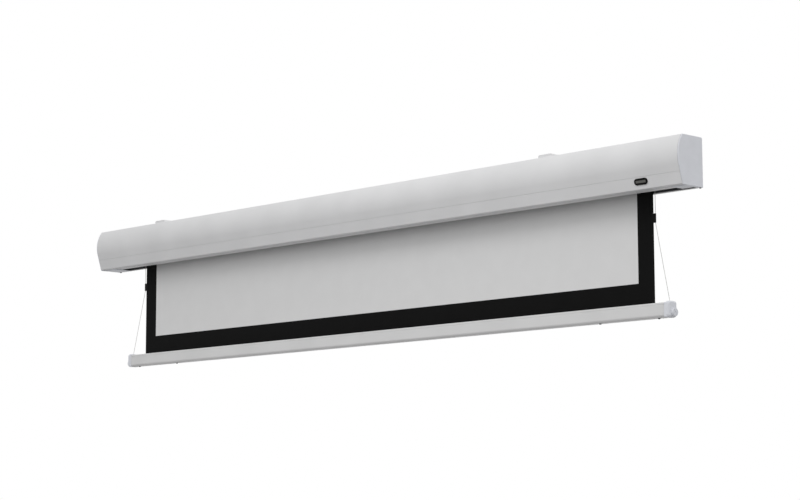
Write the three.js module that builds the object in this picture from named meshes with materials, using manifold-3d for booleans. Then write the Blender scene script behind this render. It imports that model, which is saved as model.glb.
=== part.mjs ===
// Motorized projection screen with side cords that hold the sheet flat, the sheet let down part of the way.
// Millimetres. +X runs along the case to the viewer's right, +Y towards the wall, +Z up.
// The origin is in the case's flat back, half way up and along. Inside the group "screen", height 0 is the
// case's underside.
import * as THREE from 'three';
import { mergeVertices } from 'three/addons/utils/BufferGeometryUtils.js';
import Module from 'manifold-3d';

const wasm = await Module();
wasm.setup();

// General clearances
const SEAT_GAP = 0.3;
const OVERRUN = 1;

// Projection sheet: white picture area in black borders, hanging in one plane
const PICTURE_WIDTH = 2337;
const PICTURE_HEIGHT = 1321;
const PICTURE_SHOWN = 264;
const SIDE_BORDER = 61.5;
const TOP_BORDER = 62;
const BOTTOM_BORDER = 66;
const SHEET_THICKNESS = 0.5;
const SHEET_FROM_BACK = 9.2;
const SPARE_TURNS = 2.5;

// Case: one curved extrusion, open below, and a clip-on panel along its lower front
const CASE_HEIGHT = 146;
const CASE_DEPTH = 114;
const CASE_TOP_DEPTH = 92;
const CASE_WALL = 2.5;
const BULGE_BELOW_TOP = 62;
const LOWER_SLOPE = THREE.MathUtils.degToRad(17);
const TOE_DEPTH = 7;
const TOE_HEIGHT = 5;
const TOE_TAPER = 2;
const CASE_EDGE_RADIUS = 5;

// Rail in the top of the case, in which the hanging brackets slide
const RAIL_FROM_BACK = 46;
const RAIL_MOUTH = 9;
const RAIL_WIDTH = 18;
const RAIL_DEPTH = 5.5;
const RAIL_WALL = 2;

// Screw ports inside the extrusion, which the end caps plug into
const PORT_RADIUS = 5.2;
const PORT_BORE = 2.1;
const PORT_SLIT = 1.6;
const PORT_INSET = 6;
const LOWER_PORT_ABOVE_PANEL = 17;
const PORT_SLIT_REACH = 7;

// Lower front panel
const PANEL_TOP = 36;
const PANEL_JOINT = 0.8;
const PANEL_NOSE_RADIUS = 4;
const PANEL_TONGUE = 2.2;
const PANEL_TONGUE_RISE = 10;
const PANEL_TONGUE_ROOT = 8;
const SLOT_FRONT = 42;
const SLOT_BEAD = 6;
const GROOVE_FROM_BACK = 70;
const GROOVE_WIDTH = 5;
const GROOVE_DEPTH = 3;

// End caps
const CAP_PLATE = 4;
const CAP_BEVEL = 1.2;
const CAP_TONGUE = 2.5;
const CAP_TONGUE_LENGTH = 74;
const CAP_TONGUE_INSET = 1;
const CAP_RIB = 2;
const CAP_RIB_LENGTH = 12;
const CAP_RIB_BELOW_BULGE = 22;
const CAP_RIB_ABOVE_BULGE = 42;
const CAP_PEG_LENGTH = 18;
const CAP_PEG_RADIUS = 1.8;
const CAP_SCREW_FROM_END = 8;
const CAP_SCREW_FROM_BACK = 3.6;

// Roller with a key groove along it, and the sheet wound on it
const ROLLER_BEYOND_SHEET = 66;
const ROLLER_RADIUS = 35;
const ROLLER_WALL = 1.8;
const ROLLER_BELOW_TOP = 62;
const KEY_MOUTH = 9;
const KEY_FLOOR = 7;
const KEY_DEPTH = 6;
const ANCHOR_ROD_RADIUS = 2.6;
const CORD_WINDING_WIDTH = 12;

// Tubular motor
const MOTOR_RADIUS = 22.5;
const MOTOR_LENGTH = 560;
const MOTOR_HEAD_RADIUS = 26;
const MOTOR_HEAD_BEVEL = 2;
const MOTOR_COLLAR = 18;
const MOTOR_COLLAR_STEP = 1.5;
const MOTOR_STUD = 16;
const MOTOR_STUD_REACH = 6;
const CROWN_BORE_GAP = 0.7;
const CROWN_LENGTH = 26;
const RIM_THICKNESS = 3.7;
const RIM_OVERHANG = 1;
const DRIVE_SHAFT_SIDE = 12;
const DRIVE_SHAFT_LENGTH = 34;
const DRIVE_WHEEL_WIDTH = 22;
const DRIVE_WHEEL_FROM_MOTOR = 6;
const DRIVE_HUB_RADIUS = 13;
const DRIVE_RIM = 3.5;
const DRIVE_SPOKE = 5;
const DRIVE_SPOKES = 6;

// Idler end
const PLUG_LENGTH = 40;
const PLUG_WALL = 3;
const PLUG_HUB_RADIUS = 11;
const IDLER_PIN_RADIUS = 6;
const IDLER_PIN_DEPTH = 30;
const BEARING_RADIUS = 16;
const BEARING_WIDTH = 10;
const BEARING_CUP_WALL = 2.5;

// Roller brackets inside the case
const BRACKET_PLATE = 3;
const BRACKET_FROM_ROLLER = 41;
const BRACKET_FROM_SLOT = 2;
const BRACKET_BELOW_ROLLER = 24;
const BRACKET_FLANGE = 25;

// Receiver box beside the motor bracket
const RECEIVER_LENGTH = 42;
const RECEIVER_FROM_FRONT = 9;
const RECEIVER_FROM_STUD = 4.4;
const RECEIVER_BELOW_ROLLER = 22;
const RECEIVER_HEIGHT = 50;
const RECEIVER_LID = 6;
const RECEIVER_CORNER = 4;

// Cable gland in the left end cap
const GLAND_RADIUS = 9;
const GLAND_FLANGE = 12;
const GLAND_FLANGE_THICKNESS = 3;
const GLAND_BORE = 4.5;
const GLAND_REACH = 10;
const GLAND_HEIGHT = 30;
const GLAND_FROM_BACK = 30;

// Side tabs and tension cords
const TAB_HEIGHT = 28;
const TAB_BELOW_CASE = 60;
const TAB_OVERLAP = 8;
const TAB_THICKNESS = 3;
const TAB_BEAD_RADIUS = 1.9;
const TAB_BORE = 1.1;
const TAB_CHAMFER = 2;
const CORD_RADIUS = 0.8;
const CORD_FROM_EDGE = 11;

// Weight bar
const BAR_BEYOND_SHEET = 53.5;
const BAR_DEPTH = 35;
const BAR_HEIGHT = 44;
const BAR_BACK_FROM_SHEET = 7.7;
const BAR_WALL = 1.8;
const BAR_TOP_RADIUS = 3;
const BAR_LOW_RADIUS = 9;
const BAR_BACK_RADIUS = 5;
const BAR_LINE_DROP = 6;
const BAR_LINE_DEPTH = 0.9;
const HEM_MOUTH = 3;
const HEM_CHAMBER_RADIUS = 4;
const HEM_CHAMBER_DROP = 8;
const HEM_ROD_RADIUS = 2.8;
const BAR_WEB_DROP = 17;

// Weight bar ends
const BAR_CAP_WIDTH = 18;
const BAR_CAP_PROUD = 1;
const BAR_CAP_RISE = 3.5;
const BAR_CAP_DROP = 0.8;
const BAR_CAP_RADIUS = 6;
const BAR_CAP_BEVEL = 2;
const BAR_PLUG_LENGTH = 15;
const KNOB_RADIUS = 12.3;
const KNOB_THICKNESS = 10;
const KNOB_CHAMFER = 1.5;
const KNOB_SHANK_RADIUS = 4;
const KNOB_SHANK_LENGTH = 24;
const KNOB_ABOVE_BASE = 14;
const KNOB_SLOT_WIDTH = 3;
const KNOB_SLOT_DEPTH = 2;
const KNOB_SLOT_TURN = THREE.MathUtils.degToRad(40);
const CORD_HOLE_RADIUS = 2.2;

// Strips inside the weight bar, each held by two screws from below
const STRIP_WIDTH = 14;
const STRIP_THICKNESS = 5;
const STRIP_END_MARGIN = 10;
const BAR_SCREW_FROM_END = 31.5;
const BAR_SCREW_SPACING = 226;

// Screws
const SCREW_RADIUS = 2;
const SCREW_LENGTH = 8;
const SCREW_HEAD_RADIUS = 3.5;
const SCREW_HEAD_HEIGHT = 2.8;
const PAN_HEAD_SHARES = [[0, 1], [0.6, 0.95], [0.9, 0.6], [1, 0.15], [1, 0]];

// Hanging brackets, which slide along the rail
const HANGER_WIDTH = 56;
const HANGER_STEEL = 3;
const HANGER_RISE = 9;
const HANGER_FROM_TOP_EDGE = 4;
const HANGER_CHAMFER = 4;
const HANGER_LEG = 62;
const HANGER_LEG_CLEAR = 3;
const HANGER_FROM_LEFT_END = 359;
const HANGER_FROM_RIGHT_END = 537;
const SLOT_HOLE_WIDTH = 7;
const SLOT_HOLE_LENGTH = 16;
const SLOT_HOLE_SPREAD = 34;
const LEG_HOLE_DROP = 32;
const CEILING_HOLE_OFFSET = 24;
const CLAMP_SCREW_RADIUS = 4;
const CLAMP_HEAD_RADIUS = 6.8;
const RAIL_NUT_FLOOR = 1;
const RAIL_NUT_LENGTH = 22;

// Badge on the lower front panel: a plain plate in a black surround
const BADGE_FROM_END = 155;
const BADGE_HEIGHT = 22.5;
const BADGE_LENGTH = 48;
const BADGE_WIDTH = 19;
const BADGE_THICKNESS = 2.2;
const BADGE_RECESS = 0.9;
const BADGE_PLATE_LENGTH = 36;
const BADGE_PLATE_WIDTH = 7;
const BADGE_PLATE_THICKNESS = 0.7;

// Facets
const ARC_STEPS = 14;
const CORNER_STEPS = 5;
const ROUND_STEPS = 40;
const SMALL_STEPS = 20;
const SCREW_STEPS = 16;
const CORD_SIDES = 8;

// Sizes that follow from the ones above
const SHEET_WIDTH = PICTURE_WIDTH + 2 * SIDE_BORDER;
const SHEET_END = SHEET_WIDTH / 2;
const SHEET_Y = -SHEET_FROM_BACK;
const SHEET_FRONT = SHEET_Y - SHEET_THICKNESS / 2;
const SHEET_BACK = SHEET_Y + SHEET_THICKNESS / 2;
const ROLLER_HEIGHT = CASE_HEIGHT - ROLLER_BELOW_TOP;
const SHEET_LENGTH = ROLLER_HEIGHT + TOP_BORDER + PICTURE_HEIGHT + BOTTOM_BORDER;
const SHEET_HANGING = ROLLER_HEIGHT + PICTURE_SHOWN + BOTTOM_BORDER;
const FABRIC_INNER_RADIUS = ROLLER_RADIUS + SEAT_GAP;
const SHEET_WOUND = SHEET_LENGTH - SHEET_HANGING + SPARE_TURNS * 2 * Math.PI * FABRIC_INNER_RADIUS;
const FABRIC_RADIUS = Math.sqrt(FABRIC_INNER_RADIUS ** 2 + SHEET_WOUND * SHEET_THICKNESS / Math.PI);
const ROLLER_Y = SHEET_FRONT - SEAT_GAP - FABRIC_RADIUS;
const ROLLER_END = SHEET_END + ROLLER_BEYOND_SHEET;
const BRACKET_INNER = ROLLER_END + BRACKET_FROM_ROLLER;
const BRACKET_LOW = ROLLER_HEIGHT - BRACKET_BELOW_ROLLER;
const SLOT_END = BRACKET_INNER - BRACKET_FROM_SLOT;
const CASE_END = SLOT_END + CAP_TONGUE_LENGTH;
const EXTRUSION_END = CASE_END - CAP_PLATE;
const BULGE_HEIGHT = CASE_HEIGHT - BULGE_BELOW_TOP;
const BULGE_REACH = CASE_DEPTH - CASE_TOP_DEPTH;
const FRONT_RADIUS = (BULGE_BELOW_TOP ** 2 + BULGE_REACH ** 2) / (2 * BULGE_REACH);
const FRONT_CENTRE_Y = FRONT_RADIUS - CASE_DEPTH;
const CAP_SCREW_X = CASE_END - CAP_SCREW_FROM_END;
const RAIL_Y = -RAIL_FROM_BACK;
const RAIL_TOP = CASE_HEIGHT - CASE_WALL;
const RAIL_FLOOR = RAIL_TOP - RAIL_DEPTH;
const BRACKET_TOP = RAIL_FLOOR - RAIL_WALL - SEAT_GAP;
const RIM_INNER = ROLLER_END + SEAT_GAP;
const RIM_OUTER = RIM_INNER + RIM_THICKNESS;
const MOTOR_END = RIM_OUTER - MOTOR_LENGTH;
const CORD_X = SHEET_END + CORD_FROM_EDGE;
const TAB_TOP = -TAB_BELOW_CASE;
const TAB_BOTTOM = TAB_TOP - TAB_HEIGHT;
const BAR_TOP = -(PICTURE_SHOWN + BOTTOM_BORDER);
const BAR_BOTTOM = BAR_TOP - BAR_HEIGHT;
const BAR_BACK = SHEET_Y + BAR_BACK_FROM_SHEET;
const BAR_Y = BAR_BACK - BAR_DEPTH / 2;
const BAR_END = SHEET_END + BAR_BEYOND_SHEET;
const HEM_Z = BAR_TOP - HEM_CHAMBER_DROP;
const BAR_CAP_TOP = BAR_TOP + BAR_CAP_RISE;
const BAR_CAP_END = BAR_END + BAR_CAP_WIDTH;
const BAR_CORD_X = BAR_END + BAR_CAP_WIDTH / 2;
const KNOB_Z = BAR_BOTTOM + KNOB_ABOVE_BASE;
const BAR_SCREW_OUTER = BAR_END - BAR_SCREW_FROM_END;
const BAR_SCREW_INNER = BAR_SCREW_OUTER - BAR_SCREW_SPACING;
const HANGER_FRONT = HANGER_FROM_TOP_EDGE - CASE_TOP_DEPTH;
const LEG_RECESS = HANGER_STEEL + SEAT_GAP;
const LEG_RECESS_LOW = CASE_HEIGHT + HANGER_RISE - HANGER_LEG - HANGER_LEG_CLEAR;
const RECESS_INNER = LEG_RECESS + CASE_WALL;

// Finishes
const finish = (color, roughness, metalness) => ({ color, roughness, metalness });
const WHITE_PAINT = finish(0xe4e5e8, 0.4, 0.1);
const WHITE_PLASTIC = finish(0xd9dce2, 0.45, 0);
const WHITE_SHEET = finish(0xeeeeec, 0.85, 0);
const BLACK_SHEET = finish(0x161616, 0.8, 0);
const BLACK_PLASTIC = finish(0x111112, 0.4, 0);
const GREY_PLATE = finish(0x7d8084, 0.35, 0.6);
const ALUMINIUM = finish(0xb9bcc0, 0.35, 0.9);
const STEEL = finish(0x9a9da1, 0.4, 0.9);
const ZINC = finish(0xc6c8ca, 0.35, 0.8);
const DARK_STEEL = finish(0x2b2c2e, 0.45, 0.6);
const NYLON = finish(0x2f3236, 0.5, 0);
const CORD_WHITE = finish(0xd8d8d4, 0.7, 0);

const root = new THREE.Group();
const screen = new THREE.Group();
screen.position.z = -CASE_HEIGHT / 2;
root.add(screen);

function add(name, geometry, look, parent = screen) {
  const mesh = new THREE.Mesh(geometry, new THREE.MeshStandardMaterial(look));
  mesh.name = name;
  parent.add(mesh);
  return mesh;
}

// Solids: joins and cuts between closed geometries
function toSolid(geometry) {
  const bare = geometry.clone();
  bare.deleteAttribute('normal');
  bare.deleteAttribute('uv');
  const merged = mergeVertices(bare);
  const vertProperties = Float32Array.from(merged.attributes.position.array);
  const triVerts = Uint32Array.from(merged.index.array);
  return new wasm.Manifold(new wasm.Mesh({ numProp: 3, vertProperties, triVerts }));
}

function toGeometry(solid) {
  const mesh = solid.getMesh();
  const geometry = new THREE.BufferGeometry();
  geometry.setAttribute('position', new THREE.BufferAttribute(mesh.vertProperties, mesh.numProp));
  geometry.setIndex(new THREE.BufferAttribute(mesh.triVerts, 1));
  return geometry;
}

function join(...geometries) {
  return toGeometry(geometries.map(toSolid).reduce((sum, solid) => sum.add(solid)));
}

function cut(geometry, ...cutters) {
  return toGeometry(cutters.map(toSolid).reduce((rest, solid) => rest.subtract(solid), toSolid(geometry)));
}

function common(first, second) {
  return toGeometry(toSolid(first).intersect(toSolid(second)));
}

// Outlines and their sweeps. An outline's points are (Y, Z) pairs for a sweep along X.
const point = (x, y) => new THREE.Vector2(x, y);
const polygon = (points) => new THREE.Shape(points);

function arcPoints(centre, radius, from, to, steps) {
  return Array.from({ length: steps + 1 }, (_, i) => {
    const angle = from + (to - from) * i / steps;
    return point(centre.x + radius * Math.cos(angle), centre.y + radius * Math.sin(angle));
  });
}

function roundedRectangle(low, high, radius) {
  const inner = [
    point(high.x - radius, high.y - radius), point(low.x + radius, high.y - radius),
    point(low.x + radius, low.y + radius), point(high.x - radius, low.y + radius),
  ];
  const quarter = Math.PI / 2;
  return inner.flatMap((centre, i) => arcPoints(centre, radius,
    i * quarter, (i + 1) * quarter, CORNER_STEPS));
}

function stadium(length, width) {
  const reach = (length - width) / 2;
  return [
    ...arcPoints(point(reach, 0), width / 2, -Math.PI / 2, Math.PI / 2, 2 * CORNER_STEPS),
    ...arcPoints(point(-reach, 0), width / 2, Math.PI / 2, 3 * Math.PI / 2, 2 * CORNER_STEPS),
  ];
}

const ALONG_X = new THREE.Matrix4().makeBasis(
  new THREE.Vector3(0, 1, 0), new THREE.Vector3(0, 0, 1), new THREE.Vector3(1, 0, 0));

function sweep(shape, depth) {
  return new THREE.ExtrudeGeometry(shape, { depth, bevelEnabled: false, curveSegments: ARC_STEPS });
}

function sweepX(shape, low, high) {
  return sweep(shape, high - low).applyMatrix4(ALONG_X).translate(low, 0, 0);
}

function sweepY(shape, low, high) {
  return sweep(shape, high - low).rotateX(Math.PI / 2).translate(0, high, 0);
}

function box(low, high) {
  const size = new THREE.Vector3().subVectors(high, low);
  const centre = new THREE.Vector3().addVectors(low, high).multiplyScalar(1 / 2);
  return new THREE.BoxGeometry(size.x, size.y, size.z).translate(centre.x, centre.y, centre.z);
}

const at = (x, y, z) => new THREE.Vector3(x, y, z);

function rodX(radius, low, high, y, z, steps = SMALL_STEPS) {
  return new THREE.CylinderGeometry(radius, radius, high - low, steps)
    .rotateZ(-Math.PI / 2).translate((low + high) / 2, y, z);
}

function rodZ(radius, low, high, x, y, steps = SMALL_STEPS) {
  return new THREE.CylinderGeometry(radius, radius, high - low, steps)
    .rotateX(Math.PI / 2).translate(x, y, (low + high) / 2);
}

// A turned profile has (radius, place along the axis) pairs, which rise along the axis on the outside.
function turned(profile, steps) {
  return new THREE.LatheGeometry(profile, steps);
}

// A mirror copy for the other end of the screen, with its faces turned the right way again
function mirrored(geometry) {
  const copy = mergeVertices(geometry.clone());
  copy.scale(-1, 1, 1);
  const index = copy.index.array;
  for (let i = 0; i < index.length; i += 3) [index[i], index[i + 1]] = [index[i + 1], index[i]];
  return copy;
}

// Case front: an arc above, running into a straight slope below. An inset is measured square to the surface,
// and an angle is the direction in which the surface faces.
const frontCentre = point(FRONT_CENTRE_Y, BULGE_HEIGHT);
const slopeStart = (inset) => BULGE_HEIGHT - (FRONT_RADIUS - inset) * Math.sin(LOWER_SLOPE);

function frontAngle(height, inset) {
  const sine = (height - BULGE_HEIGHT) / (FRONT_RADIUS - inset);
  return Math.PI - Math.asin(Math.max(sine, -Math.sin(LOWER_SLOPE)));
}

function frontPoint(height, inset) {
  const arcY = FRONT_CENTRE_Y + (FRONT_RADIUS - inset) * Math.cos(frontAngle(height, inset));
  return point(arcY + Math.max(slopeStart(inset) - height, 0) * Math.tan(LOWER_SLOPE), height);
}

function frontLine(inset, top, bottom) {
  const start = slopeStart(inset);
  const from = frontAngle(top, inset);
  const to = frontAngle(bottom, inset);
  const arc = arcPoints(frontCentre, FRONT_RADIUS - inset, from, to, ARC_STEPS);
  const above = top > start ? arc : [frontPoint(top, inset)];
  const below = bottom < start ? [frontPoint(bottom, inset)] : [];
  return [...above, ...below];
}

// The nose is the rounded corner between the front and the underside.
function noseArc(bottom, inset) {
  const height = bottom + PANEL_NOSE_RADIUS;
  const centre = frontPoint(height, PANEL_NOSE_RADIUS);
  const start = frontAngle(height, PANEL_NOSE_RADIUS);
  return arcPoints(centre, PANEL_NOSE_RADIUS - inset, start, 3 * Math.PI / 2, CORNER_STEPS);
}

function frontToNose(top, bottom, inset) {
  const nose = noseArc(bottom, inset);
  return [...frontLine(inset, top, nose[0].y).slice(0, -1), ...nose];
}

// The rounded corners of the case's top, each drawn from the top's flat outwards
function backCorner(back) {
  const centre = point(back - CASE_EDGE_RADIUS, CASE_HEIGHT - CASE_EDGE_RADIUS);
  return arcPoints(centre, CASE_EDGE_RADIUS, Math.PI / 2, 0, CORNER_STEPS);
}

function frontCorner() {
  const height = CASE_HEIGHT - CASE_EDGE_RADIUS;
  const centre = frontPoint(height, CASE_EDGE_RADIUS);
  const end = frontAngle(height, CASE_EDGE_RADIUS);
  return arcPoints(centre, CASE_EDGE_RADIUS, Math.PI / 2, end, CORNER_STEPS);
}

// The case's closed outline, used for its end caps
function caseOutline(bottom) {
  const corner = frontCorner();
  return [
    point(0, bottom), ...backCorner(0).reverse(), ...corner.slice(0, -1),
    ...frontToNose(corner[CORNER_STEPS].y, bottom, 0),
  ];
}

// Screw ports lie against the inside of the walls, each with a slit that faces the middle of the case.
function portCentres() {
  const high = CASE_HEIGHT - PORT_INSET;
  const low = PANEL_TOP + LOWER_PORT_ABOVE_PANEL;
  return [point(-LEG_RECESS - PORT_INSET, high), frontPoint(high, PORT_INSET), frontPoint(low, PORT_INSET)];
}

function portSlit(centre) {
  const middle = point(ROLLER_Y, ROLLER_HEIGHT);
  const half = EXTRUSION_END + OVERRUN;
  const slit = box(at(-half, 0, -PORT_SLIT / 2), at(half, PORT_SLIT_REACH, PORT_SLIT / 2));
  return slit.rotateX(middle.sub(centre).angle()).translate(0, centre.x, centre.y);
}

// Housing: its back is set in above, where the hanging brackets' legs lie flush with the back below
function housingOutline() {
  const low = PANEL_TOP + PANEL_JOINT;
  const railLow = RAIL_FLOOR - RAIL_WALL;
  const railFront = RAIL_Y - RAIL_WIDTH / 2;
  const railBack = RAIL_Y + RAIL_WIDTH / 2;
  const corner = frontCorner();
  return [
    ...corner.slice(0, -1), ...frontLine(0, corner[CORNER_STEPS].y, low),
    ...frontLine(CASE_WALL, RAIL_TOP, low).reverse(),
    point(railFront - RAIL_WALL, RAIL_TOP), point(railFront - RAIL_WALL, railLow),
    point(railBack + RAIL_WALL, railLow), point(railBack + RAIL_WALL, RAIL_TOP),
    point(-RECESS_INNER, RAIL_TOP), point(-RECESS_INNER, LEG_RECESS_LOW - CASE_WALL),
    point(-CASE_WALL, LEG_RECESS_LOW - CASE_WALL), point(-CASE_WALL, TOE_HEIGHT + TOE_TAPER),
    point(-TOE_DEPTH, TOE_HEIGHT), point(-TOE_DEPTH, 0), point(0, 0), point(0, LEG_RECESS_LOW),
    point(-LEG_RECESS, LEG_RECESS_LOW), ...backCorner(-LEG_RECESS).reverse(),
    point(RAIL_Y + RAIL_MOUTH / 2, CASE_HEIGHT), point(RAIL_Y + RAIL_MOUTH / 2, RAIL_TOP),
    point(railBack, RAIL_TOP), point(railBack, RAIL_FLOOR), point(railFront, RAIL_FLOOR),
    point(railFront, RAIL_TOP), point(RAIL_Y - RAIL_MOUTH / 2, RAIL_TOP),
    point(RAIL_Y - RAIL_MOUTH / 2, CASE_HEIGHT),
  ];
}

// Everything that the housing may fill, closed across its open underside
function skinOutline() {
  const corner = frontCorner();
  return [
    point(0, 0), point(0, LEG_RECESS_LOW), point(-LEG_RECESS, LEG_RECESS_LOW),
    ...backCorner(-LEG_RECESS).reverse(), ...corner.slice(0, -1),
    ...frontToNose(corner[CORNER_STEPS].y, 0, 0),
  ];
}

function housing() {
  const half = EXTRUSION_END;
  const over = half + OVERRUN;
  const walls = sweepX(polygon(housingOutline()), -half, half);
  const ports = portCentres();
  const tubes = ports.map((c) => rodX(PORT_RADIUS, -half, half, c.x, c.y));
  const bores = ports.map((c) => rodX(PORT_BORE, -over, over, c.x, c.y, SCREW_STEPS));
  const screwHoles = [-1, 1].map((side) => rodZ(SCREW_RADIUS + SEAT_GAP, -OVERRUN,
    TOE_HEIGHT + TOE_TAPER + OVERRUN, side * CAP_SCREW_X, -CAP_SCREW_FROM_BACK, SCREW_STEPS));
  const skin = sweepX(polygon(skinOutline()), -half, half);
  const inside = common(join(walls, ...tubes), skin);
  return cut(inside, railCutter(), ...bores, ...ports.map(portSlit), ...screwHoles);
}

function railCutter() {
  const over = EXTRUSION_END + OVERRUN;
  const low = at(-over, RAIL_Y - RAIL_WIDTH / 2, RAIL_FLOOR);
  return box(low, at(over, RAIL_Y + RAIL_WIDTH / 2, RAIL_TOP));
}

// Panel: clipped behind the housing's lower edge by a tongue, with a groove and an upturned edge below
function panelOutline() {
  const wall = CASE_WALL;
  const grooveFront = -GROOVE_FROM_BACK - GROOVE_WIDTH;
  const inner = wall + SEAT_GAP;
  const tongueTop = PANEL_TOP + PANEL_TONGUE_RISE;
  const root = PANEL_TOP - PANEL_TONGUE_ROOT;
  return [
    ...frontToNose(PANEL_TOP, 0, 0), point(grooveFront, 0), point(grooveFront, GROOVE_DEPTH),
    point(-GROOVE_FROM_BACK, GROOVE_DEPTH), point(-GROOVE_FROM_BACK, 0),
    point(-SLOT_FRONT, 0), point(-SLOT_FRONT, SLOT_BEAD), point(-SLOT_FRONT - wall, SLOT_BEAD),
    point(-SLOT_FRONT - wall, wall), point(wall - GROOVE_FROM_BACK, wall),
    point(wall - GROOVE_FROM_BACK, GROOVE_DEPTH + wall), point(grooveFront - wall, GROOVE_DEPTH + wall),
    point(grooveFront - wall, wall), ...frontToNose(root, 0, wall).reverse(),
    ...frontLine(inner + PANEL_TONGUE, tongueTop, root).reverse(), ...frontLine(inner, tongueTop, PANEL_TOP),
  ];
}

function panScrew(x, y, seat) {
  const head = PAN_HEAD_SHARES.map(([r, h]) => point(r * SCREW_HEAD_RADIUS, -h * SCREW_HEAD_HEIGHT));
  const shank = [point(SCREW_RADIUS, 0), point(SCREW_RADIUS, SCREW_LENGTH), point(0, SCREW_LENGTH)];
  return turned([...head, ...shank], SCREW_STEPS).rotateX(Math.PI / 2).translate(x, y, seat);
}

// End cap: a moulded plate with pegs for the screw ports, a rib inside the front and a tongue that closes
// the slot's end from below
function endCap() {
  const outline = polygon(caseOutline(-CAP_TONGUE));
  const bevel = {
    bevelThickness: CAP_BEVEL, bevelSize: CAP_BEVEL, bevelOffset: -CAP_BEVEL, bevelSegments: 2,
  };
  const block = new THREE.ExtrudeGeometry(outline, { depth: 2 * CAP_PLATE, ...bevel });
  block.applyMatrix4(ALONG_X).translate(EXTRUSION_END - CAP_PLATE - CAP_BEVEL, 0, 0);
  const far = CASE_DEPTH + CASE_HEIGHT;
  const plate = cut(block, box(at(0, -far, -far), at(EXTRUSION_END, far, far)));
  const tongueFront = frontPoint(PANEL_NOSE_RADIUS, PANEL_NOSE_RADIUS).x;
  const tongue = box(at(SLOT_END, tongueFront, -CAP_TONGUE),
    at(EXTRUSION_END + OVERRUN, -CAP_TONGUE_INSET, 0));
  const inset = CASE_WALL + SEAT_GAP;
  const high = BULGE_HEIGHT + CAP_RIB_ABOVE_BULGE;
  const band = (depth) => frontLine(depth, high, BULGE_HEIGHT - CAP_RIB_BELOW_BULGE);
  const ribShape = polygon([...band(inset), ...band(inset + CAP_RIB).reverse()]);
  const rib = sweepX(ribShape, EXTRUSION_END - CAP_RIB_LENGTH, EXTRUSION_END + OVERRUN);
  const pegs = portCentres().map((c) => rodX(CAP_PEG_RADIUS, EXTRUSION_END - CAP_PEG_LENGTH,
    EXTRUSION_END + OVERRUN, c.x, c.y, SCREW_STEPS));
  const hole = rodZ(SCREW_RADIUS + SEAT_GAP, -CAP_TONGUE - OVERRUN, OVERRUN,
    CAP_SCREW_X, -CAP_SCREW_FROM_BACK, SCREW_STEPS);
  return cut(join(plate, tongue, rib, ...pegs), hole);
}

function buildCase() {
  add('case_housing', housing(), WHITE_PAINT);
  add('lower_front_panel', sweepX(polygon(panelOutline()), -EXTRUSION_END, EXTRUSION_END), WHITE_PAINT);
  add('right_end_cap', endCap(), WHITE_PLASTIC);
  const glandHole = rodX(GLAND_RADIUS + SEAT_GAP, -CASE_END - OVERRUN, OVERRUN - EXTRUSION_END,
    -GLAND_FROM_BACK, GLAND_HEIGHT, SMALL_STEPS);
  add('left_end_cap', cut(mirrored(endCap()), glandHole), WHITE_PLASTIC);
  add('right_cap_screw', panScrew(CAP_SCREW_X, -CAP_SCREW_FROM_BACK, -CAP_TONGUE), DARK_STEEL);
  add('left_cap_screw', panScrew(-CAP_SCREW_X, -CAP_SCREW_FROM_BACK, -CAP_TONGUE), DARK_STEEL);
  add('cable_gland', gland(), BLACK_PLASTIC);
}

function gland() {
  const inner = GLAND_REACH - CASE_END;
  const place = [-GLAND_FROM_BACK, GLAND_HEIGHT];
  const flange = rodX(GLAND_FLANGE, -CASE_END - GLAND_FLANGE_THICKNESS, -CASE_END, ...place);
  const barrel = rodX(GLAND_RADIUS, -CASE_END - OVERRUN, inner, ...place);
  return cut(join(flange, barrel),
    rodX(GLAND_BORE, -CASE_END - GLAND_FLANGE_THICKNESS - OVERRUN, inner + OVERRUN, ...place));
}

// Badge: a plain plate let into a black stadium, square to the sloping panel
function buildBadge() {
  const badge = new THREE.Group();
  badge.position.set(CASE_END - BADGE_FROM_END, frontPoint(BADGE_HEIGHT, 0).x, BADGE_HEIGHT);
  badge.rotation.x = frontAngle(BADGE_HEIGHT, 0) - Math.PI / 2;
  screen.add(badge);
  const front = SEAT_GAP + BADGE_THICKNESS;
  const face = polygon(stadium(BADGE_LENGTH, BADGE_WIDTH));
  const block = sweep(face, BADGE_THICKNESS).translate(0, 0, SEAT_GAP);
  const pocketLength = BADGE_PLATE_LENGTH + 2 * SEAT_GAP;
  const pocketWidth = BADGE_PLATE_WIDTH + 2 * SEAT_GAP;
  const pocket = box(at(-pocketLength / 2, -pocketWidth / 2, front - BADGE_RECESS),
    at(pocketLength / 2, pocketWidth / 2, front + OVERRUN));
  add('badge_surround', cut(block, pocket), BLACK_PLASTIC, badge);
  const base = front - BADGE_RECESS + SEAT_GAP / 2;
  add('badge_plate', box(at(-BADGE_PLATE_LENGTH / 2, -BADGE_PLATE_WIDTH / 2, base),
    at(BADGE_PLATE_LENGTH / 2, BADGE_PLATE_WIDTH / 2, base + BADGE_PLATE_THICKNESS)), GREY_PLATE, badge);
}

// Roller: everything here is drawn about the X axis, and the group puts it at the roller's centre
function keyedOutline(inset) {
  const radius = ROLLER_RADIUS - inset;
  const mouth = KEY_MOUTH / 2 + inset;
  const floor = KEY_FLOOR / 2 + inset;
  const depth = ROLLER_RADIUS - KEY_DEPTH - inset;
  const start = Math.asin(mouth / radius);
  return [
    ...arcPoints(point(0, 0), radius, start, 2 * Math.PI - start, ROUND_STEPS),
    point(depth, -floor), point(depth, floor),
  ];
}

function ringX(outer, inner, low, high) {
  return cut(rodX(outer, low, high, 0, 0, ROUND_STEPS),
    rodX(inner, low - OVERRUN, high + OVERRUN, 0, 0, ROUND_STEPS));
}

function rollerTube() {
  const shape = polygon(keyedOutline(0));
  shape.holes.push(new THREE.Path(keyedOutline(ROLLER_WALL)));
  return sweepX(shape, -ROLLER_END, ROLLER_END);
}

const keyedInsert = (low, high) => sweepX(polygon(keyedOutline(ROLLER_WALL + SEAT_GAP)), low, high);

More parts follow.
